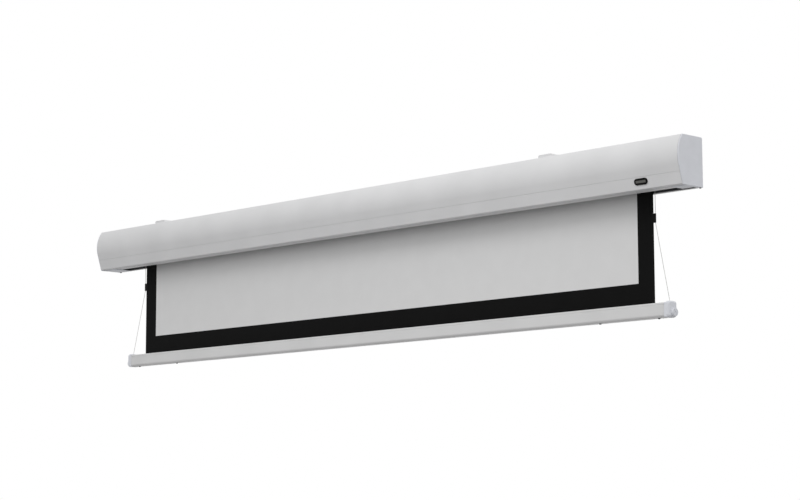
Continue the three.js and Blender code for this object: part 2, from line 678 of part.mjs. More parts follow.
function rim(side) {
  const near = side * RIM_INNER;
  const far = side * RIM_OUTER;
  return rodX(ROLLER_RADIUS + RIM_OVERHANG, Math.min(near, far), Math.max(near, far), 0, 0, ROUND_STEPS);
}

function motorCrown() {
  const bore = rodX(MOTOR_RADIUS + CROWN_BORE_GAP, -RIM_OUTER - OVERRUN, 0, 0, 0, ROUND_STEPS);
  return cut(join(keyedInsert(-RIM_OUTER + RIM_THICKNESS / 2, CROWN_LENGTH - ROLLER_END), rim(-1)), bore);
}

function driveWheel() {
  const low = DRIVE_WHEEL_FROM_MOTOR - MOTOR_END;
  const high = low + DRIVE_WHEEL_WIDTH;
  const hollow = ROLLER_RADIUS - KEY_DEPTH - ROLLER_WALL - SEAT_GAP - DRIVE_RIM;
  const rimBand = cut(keyedInsert(low, high),
    rodX(hollow, low - OVERRUN, high + OVERRUN, 0, 0, ROUND_STEPS));
  const hub = rodX(DRIVE_HUB_RADIUS, low, high, 0, 0);
  const spokes = Array.from({ length: DRIVE_SPOKES }, (_, i) => box(at(low, 0, -DRIVE_SPOKE / 2),
    at(high, hollow + OVERRUN, DRIVE_SPOKE / 2)).rotateX(i * 2 * Math.PI / DRIVE_SPOKES));
  const half = DRIVE_SHAFT_SIDE / 2 + SEAT_GAP;
  const square = box(at(low - OVERRUN, -half, -half), at(high + OVERRUN, half, half));
  return cut(join(rimBand, hub, ...spokes), square);
}

function idlerPlug() {
  const low = ROLLER_END - PLUG_LENGTH;
  const hollow = ROLLER_RADIUS - KEY_DEPTH - ROLLER_WALL - SEAT_GAP - PLUG_WALL;
  const cup = cut(keyedInsert(low, RIM_OUTER - RIM_THICKNESS / 2),
    rodX(hollow, low - OVERRUN, ROLLER_END - PLUG_WALL, 0, 0, ROUND_STEPS));
  const hub = rodX(PLUG_HUB_RADIUS, low, RIM_INNER, 0, 0);
  return cut(join(cup, hub, rim(1)),
    rodX(IDLER_PIN_RADIUS + SEAT_GAP, low - OVERRUN, RIM_OUTER + OVERRUN, 0, 0));
}

function buildRoller() {
  const roller = new THREE.Group();
  roller.position.set(0, ROLLER_Y, ROLLER_HEIGHT);
  screen.add(roller);
  add('roller_tube', rollerTube(), ALUMINIUM, roller);
  const rodPlace = ROLLER_RADIUS - KEY_DEPTH + SEAT_GAP + ANCHOR_ROD_RADIUS;
  const anchorRod = rodX(ANCHOR_ROD_RADIUS, -SHEET_END, SHEET_END, rodPlace, 0, SCREW_STEPS);
  add('fabric_anchor_rod', anchorRod, STEEL, roller);
  add('fabric_roll', ringX(FABRIC_RADIUS, FABRIC_INNER_RADIUS, -SHEET_END, SHEET_END), WHITE_SHEET, roller);
  for (const [name, side] of [['left', -1], ['right', 1]]) {
    const centre = side * CORD_X;
    const outer = FABRIC_RADIUS + SEAT_GAP + SHEET_THICKNESS / 2 - CORD_RADIUS - SEAT_GAP;
    add(`${name}_cord_winding`, ringX(outer, FABRIC_INNER_RADIUS, centre - CORD_WINDING_WIDTH / 2,
      centre + CORD_WINDING_WIDTH / 2), CORD_WHITE, roller);
  }
  add('motor_crown', motorCrown(), NYLON, roller);
  add('drive_wheel', driveWheel(), NYLON, roller);
  const side = DRIVE_SHAFT_SIDE / 2;
  add('drive_shaft', box(at(SEAT_GAP - MOTOR_END, -side, -side),
    at(DRIVE_SHAFT_LENGTH - MOTOR_END, side, side)), STEEL, roller);
  add('idler_plug', idlerPlug(), NYLON, roller);
  add('idler_pin', rodX(IDLER_PIN_RADIUS, ROLLER_END - IDLER_PIN_DEPTH,
    BRACKET_INNER + BRACKET_PLATE + SEAT_GAP, 0, 0), STEEL, roller);
}

// Motor, bearing and the two plates that carry the roller inside the case
function motorBody() {
  const start = -RIM_OUTER - SEAT_GAP;
  const end = -MOTOR_END;
  const collar = MOTOR_RADIUS - MOTOR_COLLAR_STEP;
  return join(rodX(MOTOR_RADIUS, start, end - MOTOR_COLLAR, 0, 0, ROUND_STEPS),
    rodX(collar, end - MOTOR_COLLAR - OVERRUN, end, 0, 0, ROUND_STEPS));
}

function motorHead() {
  const low = SEAT_GAP - BRACKET_INNER;
  const high = -RIM_OUTER - SEAT_GAP;
  const profile = [
    point(0, low), point(MOTOR_HEAD_RADIUS - MOTOR_HEAD_BEVEL, low),
    point(MOTOR_HEAD_RADIUS, low + MOTOR_HEAD_BEVEL), point(MOTOR_HEAD_RADIUS, high), point(0, high),
  ];
  const head = turned(profile, ROUND_STEPS).rotateZ(-Math.PI / 2);
  const half = MOTOR_STUD / 2;
  const stud = box(at(low - MOTOR_STUD_REACH, -half, -half), at(low + OVERRUN, half, half));
  return join(head, stud);
}

function bracketPlate() {
  const inset = CASE_WALL + SEAT_GAP;
  const back = -RECESS_INNER - SEAT_GAP;
  const outline = polygon([
    point(back, BRACKET_LOW), point(back, BRACKET_TOP), ...frontLine(inset, BRACKET_TOP, BRACKET_LOW),
  ]);
  const plate = sweepX(outline, BRACKET_INNER, BRACKET_INNER + BRACKET_PLATE);
  const flange = box(at(BRACKET_INNER, back - BRACKET_PLATE, BRACKET_LOW),
    at(BRACKET_INNER + BRACKET_FLANGE, back, BRACKET_TOP));
  const ports = portCentres().map((c) => rodX(PORT_RADIUS + SEAT_GAP, BRACKET_INNER - OVERRUN,
    BRACKET_INNER + BRACKET_FLANGE + OVERRUN, c.x, c.y));
  return cut(join(plate, flange), ...ports);
}

function idlerBracket() {
  const centre = [ROLLER_Y, ROLLER_HEIGHT];
  const seat = BEARING_RADIUS + SEAT_GAP;
  const cupStart = BRACKET_INNER - BEARING_WIDTH;
  const end = BRACKET_INNER + BRACKET_PLATE + OVERRUN;
  const cup = rodX(seat + BEARING_CUP_WALL, cupStart, BRACKET_INNER + OVERRUN, ...centre, ROUND_STEPS);
  return cut(join(bracketPlate(), cup),
    rodX(seat, cupStart - OVERRUN, BRACKET_INNER, ...centre, ROUND_STEPS),
    rodX(IDLER_PIN_RADIUS + 2 * SEAT_GAP, cupStart, end, ...centre));
}

function motorBracket() {
  const half = MOTOR_STUD / 2 + SEAT_GAP;
  const hole = box(at(BRACKET_INNER - OVERRUN, ROLLER_Y - half, ROLLER_HEIGHT - half),
    at(BRACKET_INNER + BRACKET_PLATE + OVERRUN, ROLLER_Y + half, ROLLER_HEIGHT + half));
  return mirrored(cut(bracketPlate(), hole));
}

function receiver() {
  const outer = -BRACKET_INNER - BRACKET_PLATE - SEAT_GAP;
  const split = outer - RECEIVER_LENGTH + RECEIVER_LID;
  const base = ROLLER_HEIGHT - RECEIVER_BELOW_ROLLER;
  const low = point(RECEIVER_FROM_FRONT - CASE_DEPTH, base);
  const high = point(ROLLER_Y - MOTOR_STUD / 2 - RECEIVER_FROM_STUD, base + RECEIVER_HEIGHT);
  const shape = polygon(roundedRectangle(low, high, RECEIVER_CORNER));
  add('receiver_box', sweepX(shape, split, outer), BLACK_PLASTIC);
  add('receiver_lid', sweepX(shape, outer - RECEIVER_LENGTH, split), BLACK_PLASTIC);
}

function buildDrive() {
  const axle = new THREE.Group();
  axle.position.set(0, ROLLER_Y, ROLLER_HEIGHT);
  screen.add(axle);
  add('motor_tube', motorBody(), STEEL, axle);
  add('motor_head', motorHead(), BLACK_PLASTIC, axle);
  const bearingEnd = BRACKET_INNER - SEAT_GAP;
  add('idler_bearing', ringX(BEARING_RADIUS, IDLER_PIN_RADIUS + SEAT_GAP,
    bearingEnd - BEARING_WIDTH, bearingEnd), STEEL, axle);
  add('motor_bracket', motorBracket(), ZINC);
  add('idler_bracket', idlerBracket(), ZINC);
  receiver();
}

// Sheet: the white picture area and its three black borders lie side by side in one plane
function buildSheet() {
  const picture = PICTURE_WIDTH / 2;
  const hem = HEM_Z + HEM_ROD_RADIUS + SEAT_GAP;
  const strip = (left, right, low, high) => box(at(left, SHEET_FRONT, low), at(right, SHEET_BACK, high));
  add('picture_surface', strip(-picture, picture, -PICTURE_SHOWN, ROLLER_HEIGHT), WHITE_SHEET);
  add('left_border', strip(-SHEET_END, -picture, hem, ROLLER_HEIGHT), BLACK_SHEET);
  add('right_border', strip(picture, SHEET_END, hem, ROLLER_HEIGHT), BLACK_SHEET);
  add('bottom_border', strip(-picture, picture, hem, -PICTURE_SHOWN), BLACK_SHEET);
}

function sideTab() {
  const slit = SHEET_THICKNESS / 2 + SEAT_GAP;
  const inner = SHEET_END - TAB_OVERLAP;
  const outer = CORD_X + TAB_BEAD_RADIUS;
  const plate = box(at(inner, SHEET_Y - TAB_THICKNESS / 2, TAB_BOTTOM),
    at(CORD_X, SHEET_Y + TAB_THICKNESS / 2, TAB_TOP));
  const bead = rodZ(TAB_BEAD_RADIUS, TAB_BOTTOM, TAB_TOP, CORD_X, SHEET_Y);
  const face = polygon([
    point(inner, TAB_BOTTOM), point(outer - TAB_CHAMFER, TAB_BOTTOM), point(outer, TAB_BOTTOM + TAB_CHAMFER),
    point(outer, TAB_TOP - TAB_CHAMFER), point(outer - TAB_CHAMFER, TAB_TOP), point(inner, TAB_TOP),
  ]);
  const shape = common(join(plate, bead), sweepY(face, SHEET_Y - TAB_THICKNESS, SHEET_Y + TAB_THICKNESS));
  const seam = box(at(inner - OVERRUN, SHEET_Y - slit, TAB_BOTTOM - OVERRUN),
    at(SHEET_END + SEAT_GAP, SHEET_Y + slit, TAB_TOP + OVERRUN));
  return cut(shape, seam,
    rodZ(TAB_BORE, TAB_BOTTOM - OVERRUN, TAB_TOP + OVERRUN, CORD_X, SHEET_Y, SCREW_STEPS));
}

// Cord: straight runs from point to point, rounded where it bends
function cord(points) {
  const runs = points.slice(1).map((end, i) => {
    const run = new THREE.Vector3().subVectors(end, points[i]);
    const turn = new THREE.Quaternion().setFromUnitVectors(at(0, 1, 0), run.clone().normalize());
    const middle = new THREE.Vector3().addVectors(points[i], end).multiplyScalar(1 / 2);
    return new THREE.CylinderGeometry(CORD_RADIUS, CORD_RADIUS, run.length(), CORD_SIDES)
      .applyQuaternion(turn).translate(middle.x, middle.y, middle.z);
  });
  const ball = () => new THREE.SphereGeometry(CORD_RADIUS, CORD_SIDES, CORD_SIDES);
  const bends = points.slice(1, -1).map((place) => ball().translate(place.x, place.y, place.z));
  return join(...runs, ...bends);
}

function buildCords() {
  const upper = cord([at(CORD_X, SHEET_Y, ROLLER_HEIGHT), at(CORD_X, SHEET_Y, TAB_TOP + SEAT_GAP)]);
  const lower = cord([
    at(CORD_X, SHEET_Y, TAB_BOTTOM - SEAT_GAP), at(BAR_CORD_X, BAR_Y, BAR_CAP_TOP),
    at(BAR_CORD_X, BAR_Y, KNOB_Z + KNOB_SHANK_RADIUS + SEAT_GAP),
  ]);
  add('right_tab', sideTab(), BLACK_PLASTIC);
  add('left_tab', mirrored(sideTab()), BLACK_PLASTIC);
  add('right_upper_cord', upper, CORD_WHITE);
  add('left_upper_cord', mirrored(upper), CORD_WHITE);
  add('right_lower_cord', lower, CORD_WHITE);
  add('left_lower_cord', mirrored(lower), CORD_WHITE);
}

// Weight bar: its outline is drawn from the middle of its flat top
function barOutline() {
  const front = -BAR_DEPTH / 2;
  const back = BAR_DEPTH / 2;
  const slot = SHEET_Y - BAR_Y;
  const spread = Math.acos(HEM_MOUTH / 2 / HEM_CHAMBER_RADIUS);
  const chamber = point(slot, -HEM_CHAMBER_DROP);
  return [
    point(slot - HEM_MOUTH / 2, 0),
    ...arcPoints(point(front + BAR_TOP_RADIUS, -BAR_TOP_RADIUS), BAR_TOP_RADIUS,
      Math.PI / 2, Math.PI, CORNER_STEPS),
    point(front, -BAR_LINE_DROP), point(front + BAR_LINE_DEPTH, -BAR_LINE_DROP - BAR_LINE_DEPTH),
    point(front, -BAR_LINE_DROP - 2 * BAR_LINE_DEPTH),
    ...arcPoints(point(front + BAR_LOW_RADIUS, BAR_LOW_RADIUS - BAR_HEIGHT), BAR_LOW_RADIUS,
      Math.PI, 3 * Math.PI / 2, 2 * CORNER_STEPS),
    ...arcPoints(point(back - BAR_BACK_RADIUS, BAR_BACK_RADIUS - BAR_HEIGHT), BAR_BACK_RADIUS,
      -Math.PI / 2, 0, CORNER_STEPS),
    ...arcPoints(point(back - BAR_TOP_RADIUS, -BAR_TOP_RADIUS), BAR_TOP_RADIUS,
      0, Math.PI / 2, CORNER_STEPS),
    point(slot + HEM_MOUTH / 2, 0),
    ...arcPoints(chamber, HEM_CHAMBER_RADIUS, spread, -Math.PI - spread, 3 * CORNER_STEPS),
  ];
}

function barHollows() {
  const front = BAR_WALL - BAR_DEPTH / 2;
  const back = BAR_DEPTH / 2 - BAR_WALL;
  const low = [
    point(back, -BAR_WEB_DROP), point(front, -BAR_WEB_DROP),
    ...arcPoints(point(front + BAR_LOW_RADIUS - BAR_WALL, BAR_LOW_RADIUS - BAR_HEIGHT),
      BAR_LOW_RADIUS - BAR_WALL, Math.PI, 3 * Math.PI / 2, 2 * CORNER_STEPS),
    ...arcPoints(point(back + BAR_WALL - BAR_BACK_RADIUS, BAR_BACK_RADIUS - BAR_HEIGHT),
      BAR_BACK_RADIUS - BAR_WALL, -Math.PI / 2, 0, CORNER_STEPS),
  ];
  const side = SHEET_Y - BAR_Y - HEM_CHAMBER_RADIUS - BAR_WALL;
  const nearFront = front + BAR_LINE_DEPTH;
  const high = [
    point(nearFront, -BAR_WALL - BAR_LINE_DEPTH), point(side, -BAR_WALL - BAR_LINE_DEPTH),
    point(side, BAR_WALL - BAR_WEB_DROP), point(nearFront, BAR_WALL - BAR_WEB_DROP),
  ];
  return [low, high].map((points) => new THREE.Path(points));
}

const barScrewPlaces = [-BAR_SCREW_OUTER, -BAR_SCREW_INNER, BAR_SCREW_INNER, BAR_SCREW_OUTER];

function weightBar() {
  const shape = polygon(barOutline());
  shape.holes.push(...barHollows());
  const bar = sweepX(shape, -BAR_END, BAR_END).translate(0, BAR_Y, BAR_TOP);
  const holes = barScrewPlaces.map((x) => rodZ(SCREW_RADIUS + SEAT_GAP, BAR_BOTTOM - OVERRUN,
    BAR_BOTTOM + BAR_WALL + OVERRUN, x, BAR_Y, SCREW_STEPS));
  return cut(bar, ...holes);
}

function barCap() {
  const front = BAR_BACK - BAR_DEPTH;
  const low = point(front - BAR_CAP_PROUD, BAR_BOTTOM - BAR_CAP_DROP);
  const high = point(BAR_BACK + BAR_CAP_PROUD, BAR_CAP_TOP);
  const outline = polygon(roundedRectangle(low, high, BAR_CAP_RADIUS));
  const bevel = {
    bevelThickness: BAR_CAP_BEVEL, bevelSize: BAR_CAP_BEVEL, bevelOffset: -BAR_CAP_BEVEL, bevelSegments: 3,
  };
  const block = new THREE.ExtrudeGeometry(outline, { depth: BAR_CAP_WIDTH, ...bevel });
  block.applyMatrix4(ALONG_X).translate(BAR_END - BAR_CAP_BEVEL, 0, 0);
  const far = BAR_HEIGHT - BAR_TOP + BAR_DEPTH;
  const cap = cut(block, box(at(0, -far, -2 * far), at(BAR_END, far, far)));
  const inset = BAR_WALL + SEAT_GAP;
  const plugLow = point(front + inset, BAR_BOTTOM + inset);
  const plugHigh = point(BAR_BACK - inset, BAR_TOP - BAR_WEB_DROP - SEAT_GAP);
  const plugShape = polygon(roundedRectangle(plugLow, plugHigh, BAR_LOW_RADIUS - BAR_WALL));
  const plug = sweepX(plugShape, BAR_END - BAR_PLUG_LENGTH, BAR_END + OVERRUN);
  const bore = rodX(KNOB_SHANK_RADIUS + SEAT_GAP, BAR_END - BAR_PLUG_LENGTH - OVERRUN,
    BAR_CAP_END + BAR_CAP_BEVEL + OVERRUN, BAR_Y, KNOB_Z);
  const cordHole = rodZ(CORD_HOLE_RADIUS, KNOB_Z, BAR_CAP_TOP + OVERRUN, BAR_CORD_X, BAR_Y, SCREW_STEPS);
  return cut(join(cap, plug), bore, cordHole);
}

function tensionKnob() {
  const seat = BAR_CAP_END + SEAT_GAP;
  const face = seat + KNOB_THICKNESS;
  const profile = [
    point(0, seat - KNOB_SHANK_LENGTH), point(KNOB_SHANK_RADIUS, seat - KNOB_SHANK_LENGTH),
    point(KNOB_SHANK_RADIUS, seat), point(KNOB_RADIUS, seat), point(KNOB_RADIUS, face - KNOB_CHAMFER),
    point(KNOB_RADIUS - KNOB_CHAMFER, face), point(0, face),
  ];
  const body = turned(profile, ROUND_STEPS).rotateZ(-Math.PI / 2);
  const slot = box(at(face - KNOB_SLOT_DEPTH, -KNOB_RADIUS - OVERRUN, -KNOB_SLOT_WIDTH / 2),
    at(face + OVERRUN, KNOB_RADIUS + OVERRUN, KNOB_SLOT_WIDTH / 2)).rotateX(KNOB_SLOT_TURN);
  return cut(body, slot).translate(0, BAR_Y, KNOB_Z);
}

function anchorStrip() {
  const low = BAR_BOTTOM + BAR_WALL + SEAT_GAP;
  const high = low + STRIP_THICKNESS;
  const half = STRIP_WIDTH / 2;
  const strip = box(at(BAR_SCREW_INNER - STRIP_END_MARGIN, BAR_Y - half, low),
    at(BAR_SCREW_OUTER + STRIP_END_MARGIN, BAR_Y + half, high));
  const holes = [BAR_SCREW_INNER, BAR_SCREW_OUTER].map((x) => rodZ(SCREW_RADIUS + SEAT_GAP,
    low - OVERRUN, high + OVERRUN, x, BAR_Y, SCREW_STEPS));
  return cut(strip, ...holes);
}

function buildBar() {
  add('weight_bar', weightBar(), ALUMINIUM);
  add('hem_rod', rodX(HEM_ROD_RADIUS, -SHEET_END, SHEET_END, SHEET_Y, HEM_Z, SCREW_STEPS), NYLON);
  add('right_bar_cap', barCap(), WHITE_PLASTIC);
  add('left_bar_cap', mirrored(barCap()), WHITE_PLASTIC);
  add('right_tension_knob', tensionKnob(), WHITE_PLASTIC);
  add('left_tension_knob', mirrored(tensionKnob()), WHITE_PLASTIC);
  add('right_anchor_strip', anchorStrip(), STEEL);
  add('left_anchor_strip', mirrored(anchorStrip()), STEEL);
  barScrewPlaces.forEach((x, i) => add(`bar_screw_${i + 1}`, panScrew(x, BAR_Y, BAR_BOTTOM), DARK_STEEL));
}

// Hanging bracket: a steel channel over the case with a leg down its back, clamped to a nut in the rail
function hangerSection(inset) {
  const half = HANGER_WIDTH / 2 - inset;
  const top = HANGER_RISE - SEAT_GAP - inset;
  return [
    point(-half, 0), point(-half, top - HANGER_CHAMFER), point(HANGER_CHAMFER - half, top),
    point(half - HANGER_CHAMFER, top), point(half, top - HANGER_CHAMFER), point(half, 0),
  ];
}

function hanger() {
  const base = CASE_HEIGHT + SEAT_GAP;
  const top = CASE_HEIGHT + HANGER_RISE;
  const half = HANGER_WIDTH / 2;
  const shell = polygon([...hangerSection(0), ...hangerSection(HANGER_STEEL).reverse()]);
  const channel = sweepY(shell, HANGER_FRONT, 0);
  const front = sweepY(polygon(hangerSection(0)), HANGER_FRONT, HANGER_FRONT + HANGER_STEEL);
  const leg = box(at(-half, -HANGER_STEEL, top - HANGER_LEG - base),
    at(half, 0, top - HANGER_CHAMFER - base));
  const oval = () => sweep(polygon(stadium(SLOT_HOLE_LENGTH, SLOT_HOLE_WIDTH)), 2 * HANGER_RISE);
  const spread = SLOT_HOLE_SPREAD / 2;
  const holes = [-1, 1].flatMap((side) => [
    oval().rotateZ(Math.PI / 2).rotateX(Math.PI / 2)
      .translate(side * spread, HANGER_RISE, top - base - LEG_HOLE_DROP),
    ...[-1, 1].map((end) => oval().rotateZ(Math.PI / 2)
      .translate(side * spread, RAIL_Y + end * CEILING_HOLE_OFFSET, 0)),
  ]);
  const reach = CLAMP_HEAD_RADIUS - CLAMP_SCREW_RADIUS;
  const sink = new THREE.CylinderGeometry(CLAMP_HEAD_RADIUS + SEAT_GAP, CLAMP_SCREW_RADIUS + SEAT_GAP,
    reach, SMALL_STEPS).rotateX(Math.PI / 2).translate(0, RAIL_Y, top - base - reach / 2);
  const shank = rodZ(CLAMP_SCREW_RADIUS + SEAT_GAP, 0, top - base, 0, RAIL_Y);
  return cut(join(channel, front, leg), ...holes, sink, shank).translate(0, 0, base);
}

function clampScrew() {
  const top = CASE_HEIGHT + HANGER_RISE;
  const neck = top - CLAMP_HEAD_RADIUS + CLAMP_SCREW_RADIUS;
  const end = RAIL_FLOOR + SEAT_GAP + RAIL_NUT_FLOOR + SEAT_GAP;
  const profile = [
    point(0, end), point(CLAMP_SCREW_RADIUS, end), point(CLAMP_SCREW_RADIUS, neck),
    point(CLAMP_HEAD_RADIUS, top), point(0, top),
  ];
  return turned(profile, SMALL_STEPS).rotateX(Math.PI / 2).translate(0, RAIL_Y, 0);
}

function railNut() {
  const length = RAIL_NUT_LENGTH / 2;
  const wide = RAIL_WIDTH / 2 - SEAT_GAP;
  const slim = RAIL_MOUTH / 2 - SEAT_GAP;
  const low = RAIL_FLOOR + SEAT_GAP;
  const plate = box(at(-length, RAIL_Y - wide, low), at(length, RAIL_Y + wide, RAIL_TOP - SEAT_GAP));
  const neck = box(at(-length, RAIL_Y - slim, low), at(length, RAIL_Y + slim, CASE_HEIGHT));
  return cut(join(plate, neck),
    rodZ(CLAMP_SCREW_RADIUS + SEAT_GAP, low + RAIL_NUT_FLOOR, CASE_HEIGHT + OVERRUN, 0, RAIL_Y));
}

function buildHanger(side, x) {
  const place = new THREE.Group();
  place.position.x = x;
  screen.add(place);
  add(`${side}_hanging_bracket`, hanger(), WHITE_PAINT, place);
  add(`${side}_clamp_screw`, clampScrew(), STEEL, place);
  add(`${side}_rail_nut`, railNut(), STEEL, place);
}

buildCase();
buildBadge();
buildRoller();
buildDrive();
buildSheet();
buildCords();
buildBar();
buildHanger('left', HANGER_FROM_LEFT_END - CASE_END);
buildHanger('right', CASE_END - HANGER_FROM_RIGHT_END);

export default root;
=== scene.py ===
"""Looks of a motorized projection screen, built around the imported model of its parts.

Sizes are in millimetres. X runs along the case to the right, Y towards the wall, and heights are measured
from the underside of the case, until a finished mesh is moved into the model's frame in metres.
"""

from __future__ import annotations

import logging
import math
from collections.abc import Callable, Iterable
from dataclasses import dataclass, field
from enum import Enum

import bmesh
import bpy
from mathutils import Euler, Matrix, Vector

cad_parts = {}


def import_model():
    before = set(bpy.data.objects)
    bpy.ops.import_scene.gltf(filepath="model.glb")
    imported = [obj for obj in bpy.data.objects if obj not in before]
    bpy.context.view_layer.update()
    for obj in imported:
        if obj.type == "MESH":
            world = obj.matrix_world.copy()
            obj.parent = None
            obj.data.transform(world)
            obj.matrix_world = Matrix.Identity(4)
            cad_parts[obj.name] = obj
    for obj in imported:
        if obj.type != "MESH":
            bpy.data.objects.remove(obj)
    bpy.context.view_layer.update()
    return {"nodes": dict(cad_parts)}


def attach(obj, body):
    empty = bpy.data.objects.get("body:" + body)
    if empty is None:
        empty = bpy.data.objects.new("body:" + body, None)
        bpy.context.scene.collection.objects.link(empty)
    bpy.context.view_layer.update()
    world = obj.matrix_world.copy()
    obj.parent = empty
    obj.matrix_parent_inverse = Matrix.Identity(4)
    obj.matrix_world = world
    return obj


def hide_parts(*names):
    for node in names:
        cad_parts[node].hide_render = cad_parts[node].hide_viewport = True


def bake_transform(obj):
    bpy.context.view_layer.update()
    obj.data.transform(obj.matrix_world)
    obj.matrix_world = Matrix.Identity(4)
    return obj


log = logging.getLogger("screen")

MM = 0.001
CASE_HEIGHT = 146.0
RAIL_Y = -46.0
ROLLER_HEIGHT = 84.0
SHEET_END = 1230.0
SHEET_Y = -9.2
SHEET_THICKNESS = 0.5
BAR_TOP = -330.0
SEAT_GAP = 0.3
OVERRUN = 1.0
SLACK = 0.1
QUARTER = math.pi / 2
FULL_TURN = 2 * math.pi
X_AXIS = (1, 0, 0)
Z_AXIS = (0, 0, 1)
# Facets of the case's long front arc, of a plain round corner and of a small one
FRONT_STEPS = 40
CORNER_STEPS = 8
SMALL_STEPS = 4
# A face looks along an axis when that axis has more than this share of its normal
LOOKS_ALONG = 0.5
# A noise seldom leaves this part of the range from 0 to 1
NOISE_RANGE = (0.3, 0.7)


class Side(Enum):
    """The two ends of the screen, with the sign of their X."""

    LEFT = -1
    RIGHT = 1

    @property
    def word(self) -> str:
        """The side's name in the names of pieces."""
        return self.name.lower()


class Body(Enum):
    """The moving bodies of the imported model."""

    CASE = "case"
    ROLLER = "roller"
    BAR = "weight_bar"
    TABS = "edge_tabs"


class Carve(Enum):
    """What a second solid does to a first one."""

    ADD = "UNION"
    CUT = "DIFFERENCE"


# Colour and nodes


def linear(code: str) -> tuple[float, float, float, float]:
    """Turn an sRGB hex value into a linear colour.

    Args:
        code: Six hex digits.

    Returns:
        Red, green, blue and an alpha of 1.
    """
    parts = [int(code[i:i + 2], 16) / 255 for i in (0, 2, 4)]
    levels = [c / 12.92 if c <= 0.04045 else ((c + 0.055) / 1.055) ** 2.4 for c in parts]
    return (levels[0], levels[1], levels[2], 1.0)


def node(tree: bpy.types.NodeTree, kind: str, links: dict | None = None, **settings) -> bpy.types.Node:
    """Add a node.

    Args:
        tree: The tree that gets it.
        kind: The node's type name, without the word ShaderNode.
        links: Values or output sockets by input name or number.
        settings: Attributes of the node.

    Returns:
        The new node.
    """
    made = tree.nodes.new("ShaderNode" + kind)
    for name, value in settings.items():
        setattr(made, name, value)
    for name, value in (links or {}).items():
        if isinstance(value, bpy.types.NodeSocket):
            tree.links.new(value, made.inputs[name])
        else:
            made.inputs[name].default_value = value
    return made


@dataclass(frozen=True)
class Finish:
    """A surface finish: its colour, and a fine grain that is pressed or sprayed into it."""

    name: str
    colour: str
    roughness: float = 0.5
    metallic: float = 0.0
    grain_mm: float = 1.0
    grain_depth_mm: float = 0.01
    cloud_mm: float = 60.0
    cloud_share: float = 0.03
    stretch: tuple[float, float, float] = (1.0, 1.0, 1.0)
    specular: float = 0.5
    gloss_share: float = 0.08

    def material(self) -> bpy.types.Material:
        """Give this finish's material, made on its first use.

        Returns:
            The material.
        """
        known = bpy.data.materials.get(self.name)
        if known is not None:
            return known
        made = bpy.data.materials.new(self.name)
        made.use_nodes = True
        tree = made.node_tree
        shader = tree.nodes["Principled BSDF"]
        shader.inputs["Metallic"].default_value = self.metallic
        shader.inputs["Specular IOR Level"].default_value = self.specular
        spot = node(tree, "TexCoord").outputs["Object"]
        self.paint(tree, shader, spot)
        return made

    def noise(self, tree: bpy.types.NodeTree, spot: bpy.types.NodeSocket, size_mm: float,
              detail: float = 2.0) -> bpy.types.NodeSocket:
        """Add a noise with features of a real size, drawn out along the finish's stretch.

        Args:
            tree: The material's tree.
            spot: The coordinates to read.
            size_mm: The size of one feature.
            detail: The octaves of finer noise.

        Returns:
            The noise's value.
        """
        scale = tuple(1 / (size_mm * MM * share) for share in self.stretch)
        mapped = node(tree, "Mapping", {"Vector": spot, "Scale": scale})
        links = {"Vector": mapped.outputs[0], "Scale": 1.0, "Detail": detail}
        return node(tree, "TexNoise", links).outputs[0]

    def vary(self, tree: bpy.types.NodeTree, value: bpy.types.NodeSocket, low: float,
             high: float) -> bpy.types.NodeSocket:
        """Map a noise to a range.

        Args:
            tree: The material's tree.
            value: The noise.
            low: The result where the noise is low.
            high: The result where the noise is high.

        Returns:
            The mapped value.
        """
        start, stop = NOISE_RANGE
        links = {"Value": value, "From Min": start, "From Max": stop, "To Min": low, "To Max": high}
        return node(tree, "MapRange", links).outputs[0]

    def shade(self, tree: bpy.types.NodeTree, value: bpy.types.NodeSocket) -> bpy.types.NodeSocket:
        """Make the base colour a little lighter and darker by a noise.

        Args:
            tree: The material's tree.
            value: The noise.

        Returns:
            The colour.
        """
        bright = self.vary(tree, value, 1 - self.cloud_share, 1 + self.cloud_share)
        links = {"Color": linear(self.colour), "Value": bright}
        return node(tree, "HueSaturation", links).outputs[0]

    def press(self, tree: bpy.types.NodeTree, shader: bpy.types.Node, height: bpy.types.NodeSocket,
              depth_mm: float) -> None:
        """Press a height pattern into the surface.

        Args:
            tree: The material's tree.
            shader: The shader that gets the bump.
            height: The pattern.
            depth_mm: Its real depth.
        """
        bump = node(tree, "Bump", {"Strength": 1.0, "Distance": depth_mm * MM, "Height": height})
        tree.links.new(bump.outputs[0], shader.inputs["Normal"])

    def paint(self, tree: bpy.types.NodeTree, shader: bpy.types.Node, spot: bpy.types.NodeSocket) -> None:
        """Add the finish's patterns: slow clouds in its colour and a fine grain in its height and gloss.

        Args:
            tree: The material's tree.
            shader: The shader to feed.
            spot: Object coordinates.
        """
        grain = self.noise(tree, spot, self.grain_mm)
        clouds = self.noise(tree, spot, self.cloud_mm)
        shift = self.roughness * self.gloss_share
        rough = self.vary(tree, grain, self.roughness - shift, min(self.roughness + shift, 1.0))
        tree.links.new(self.shade(tree, clouds), shader.inputs["Base Color"])
        tree.links.new(rough, shader.inputs["Roughness"])
        self.press(tree, shader, grain, self.grain_depth_mm)


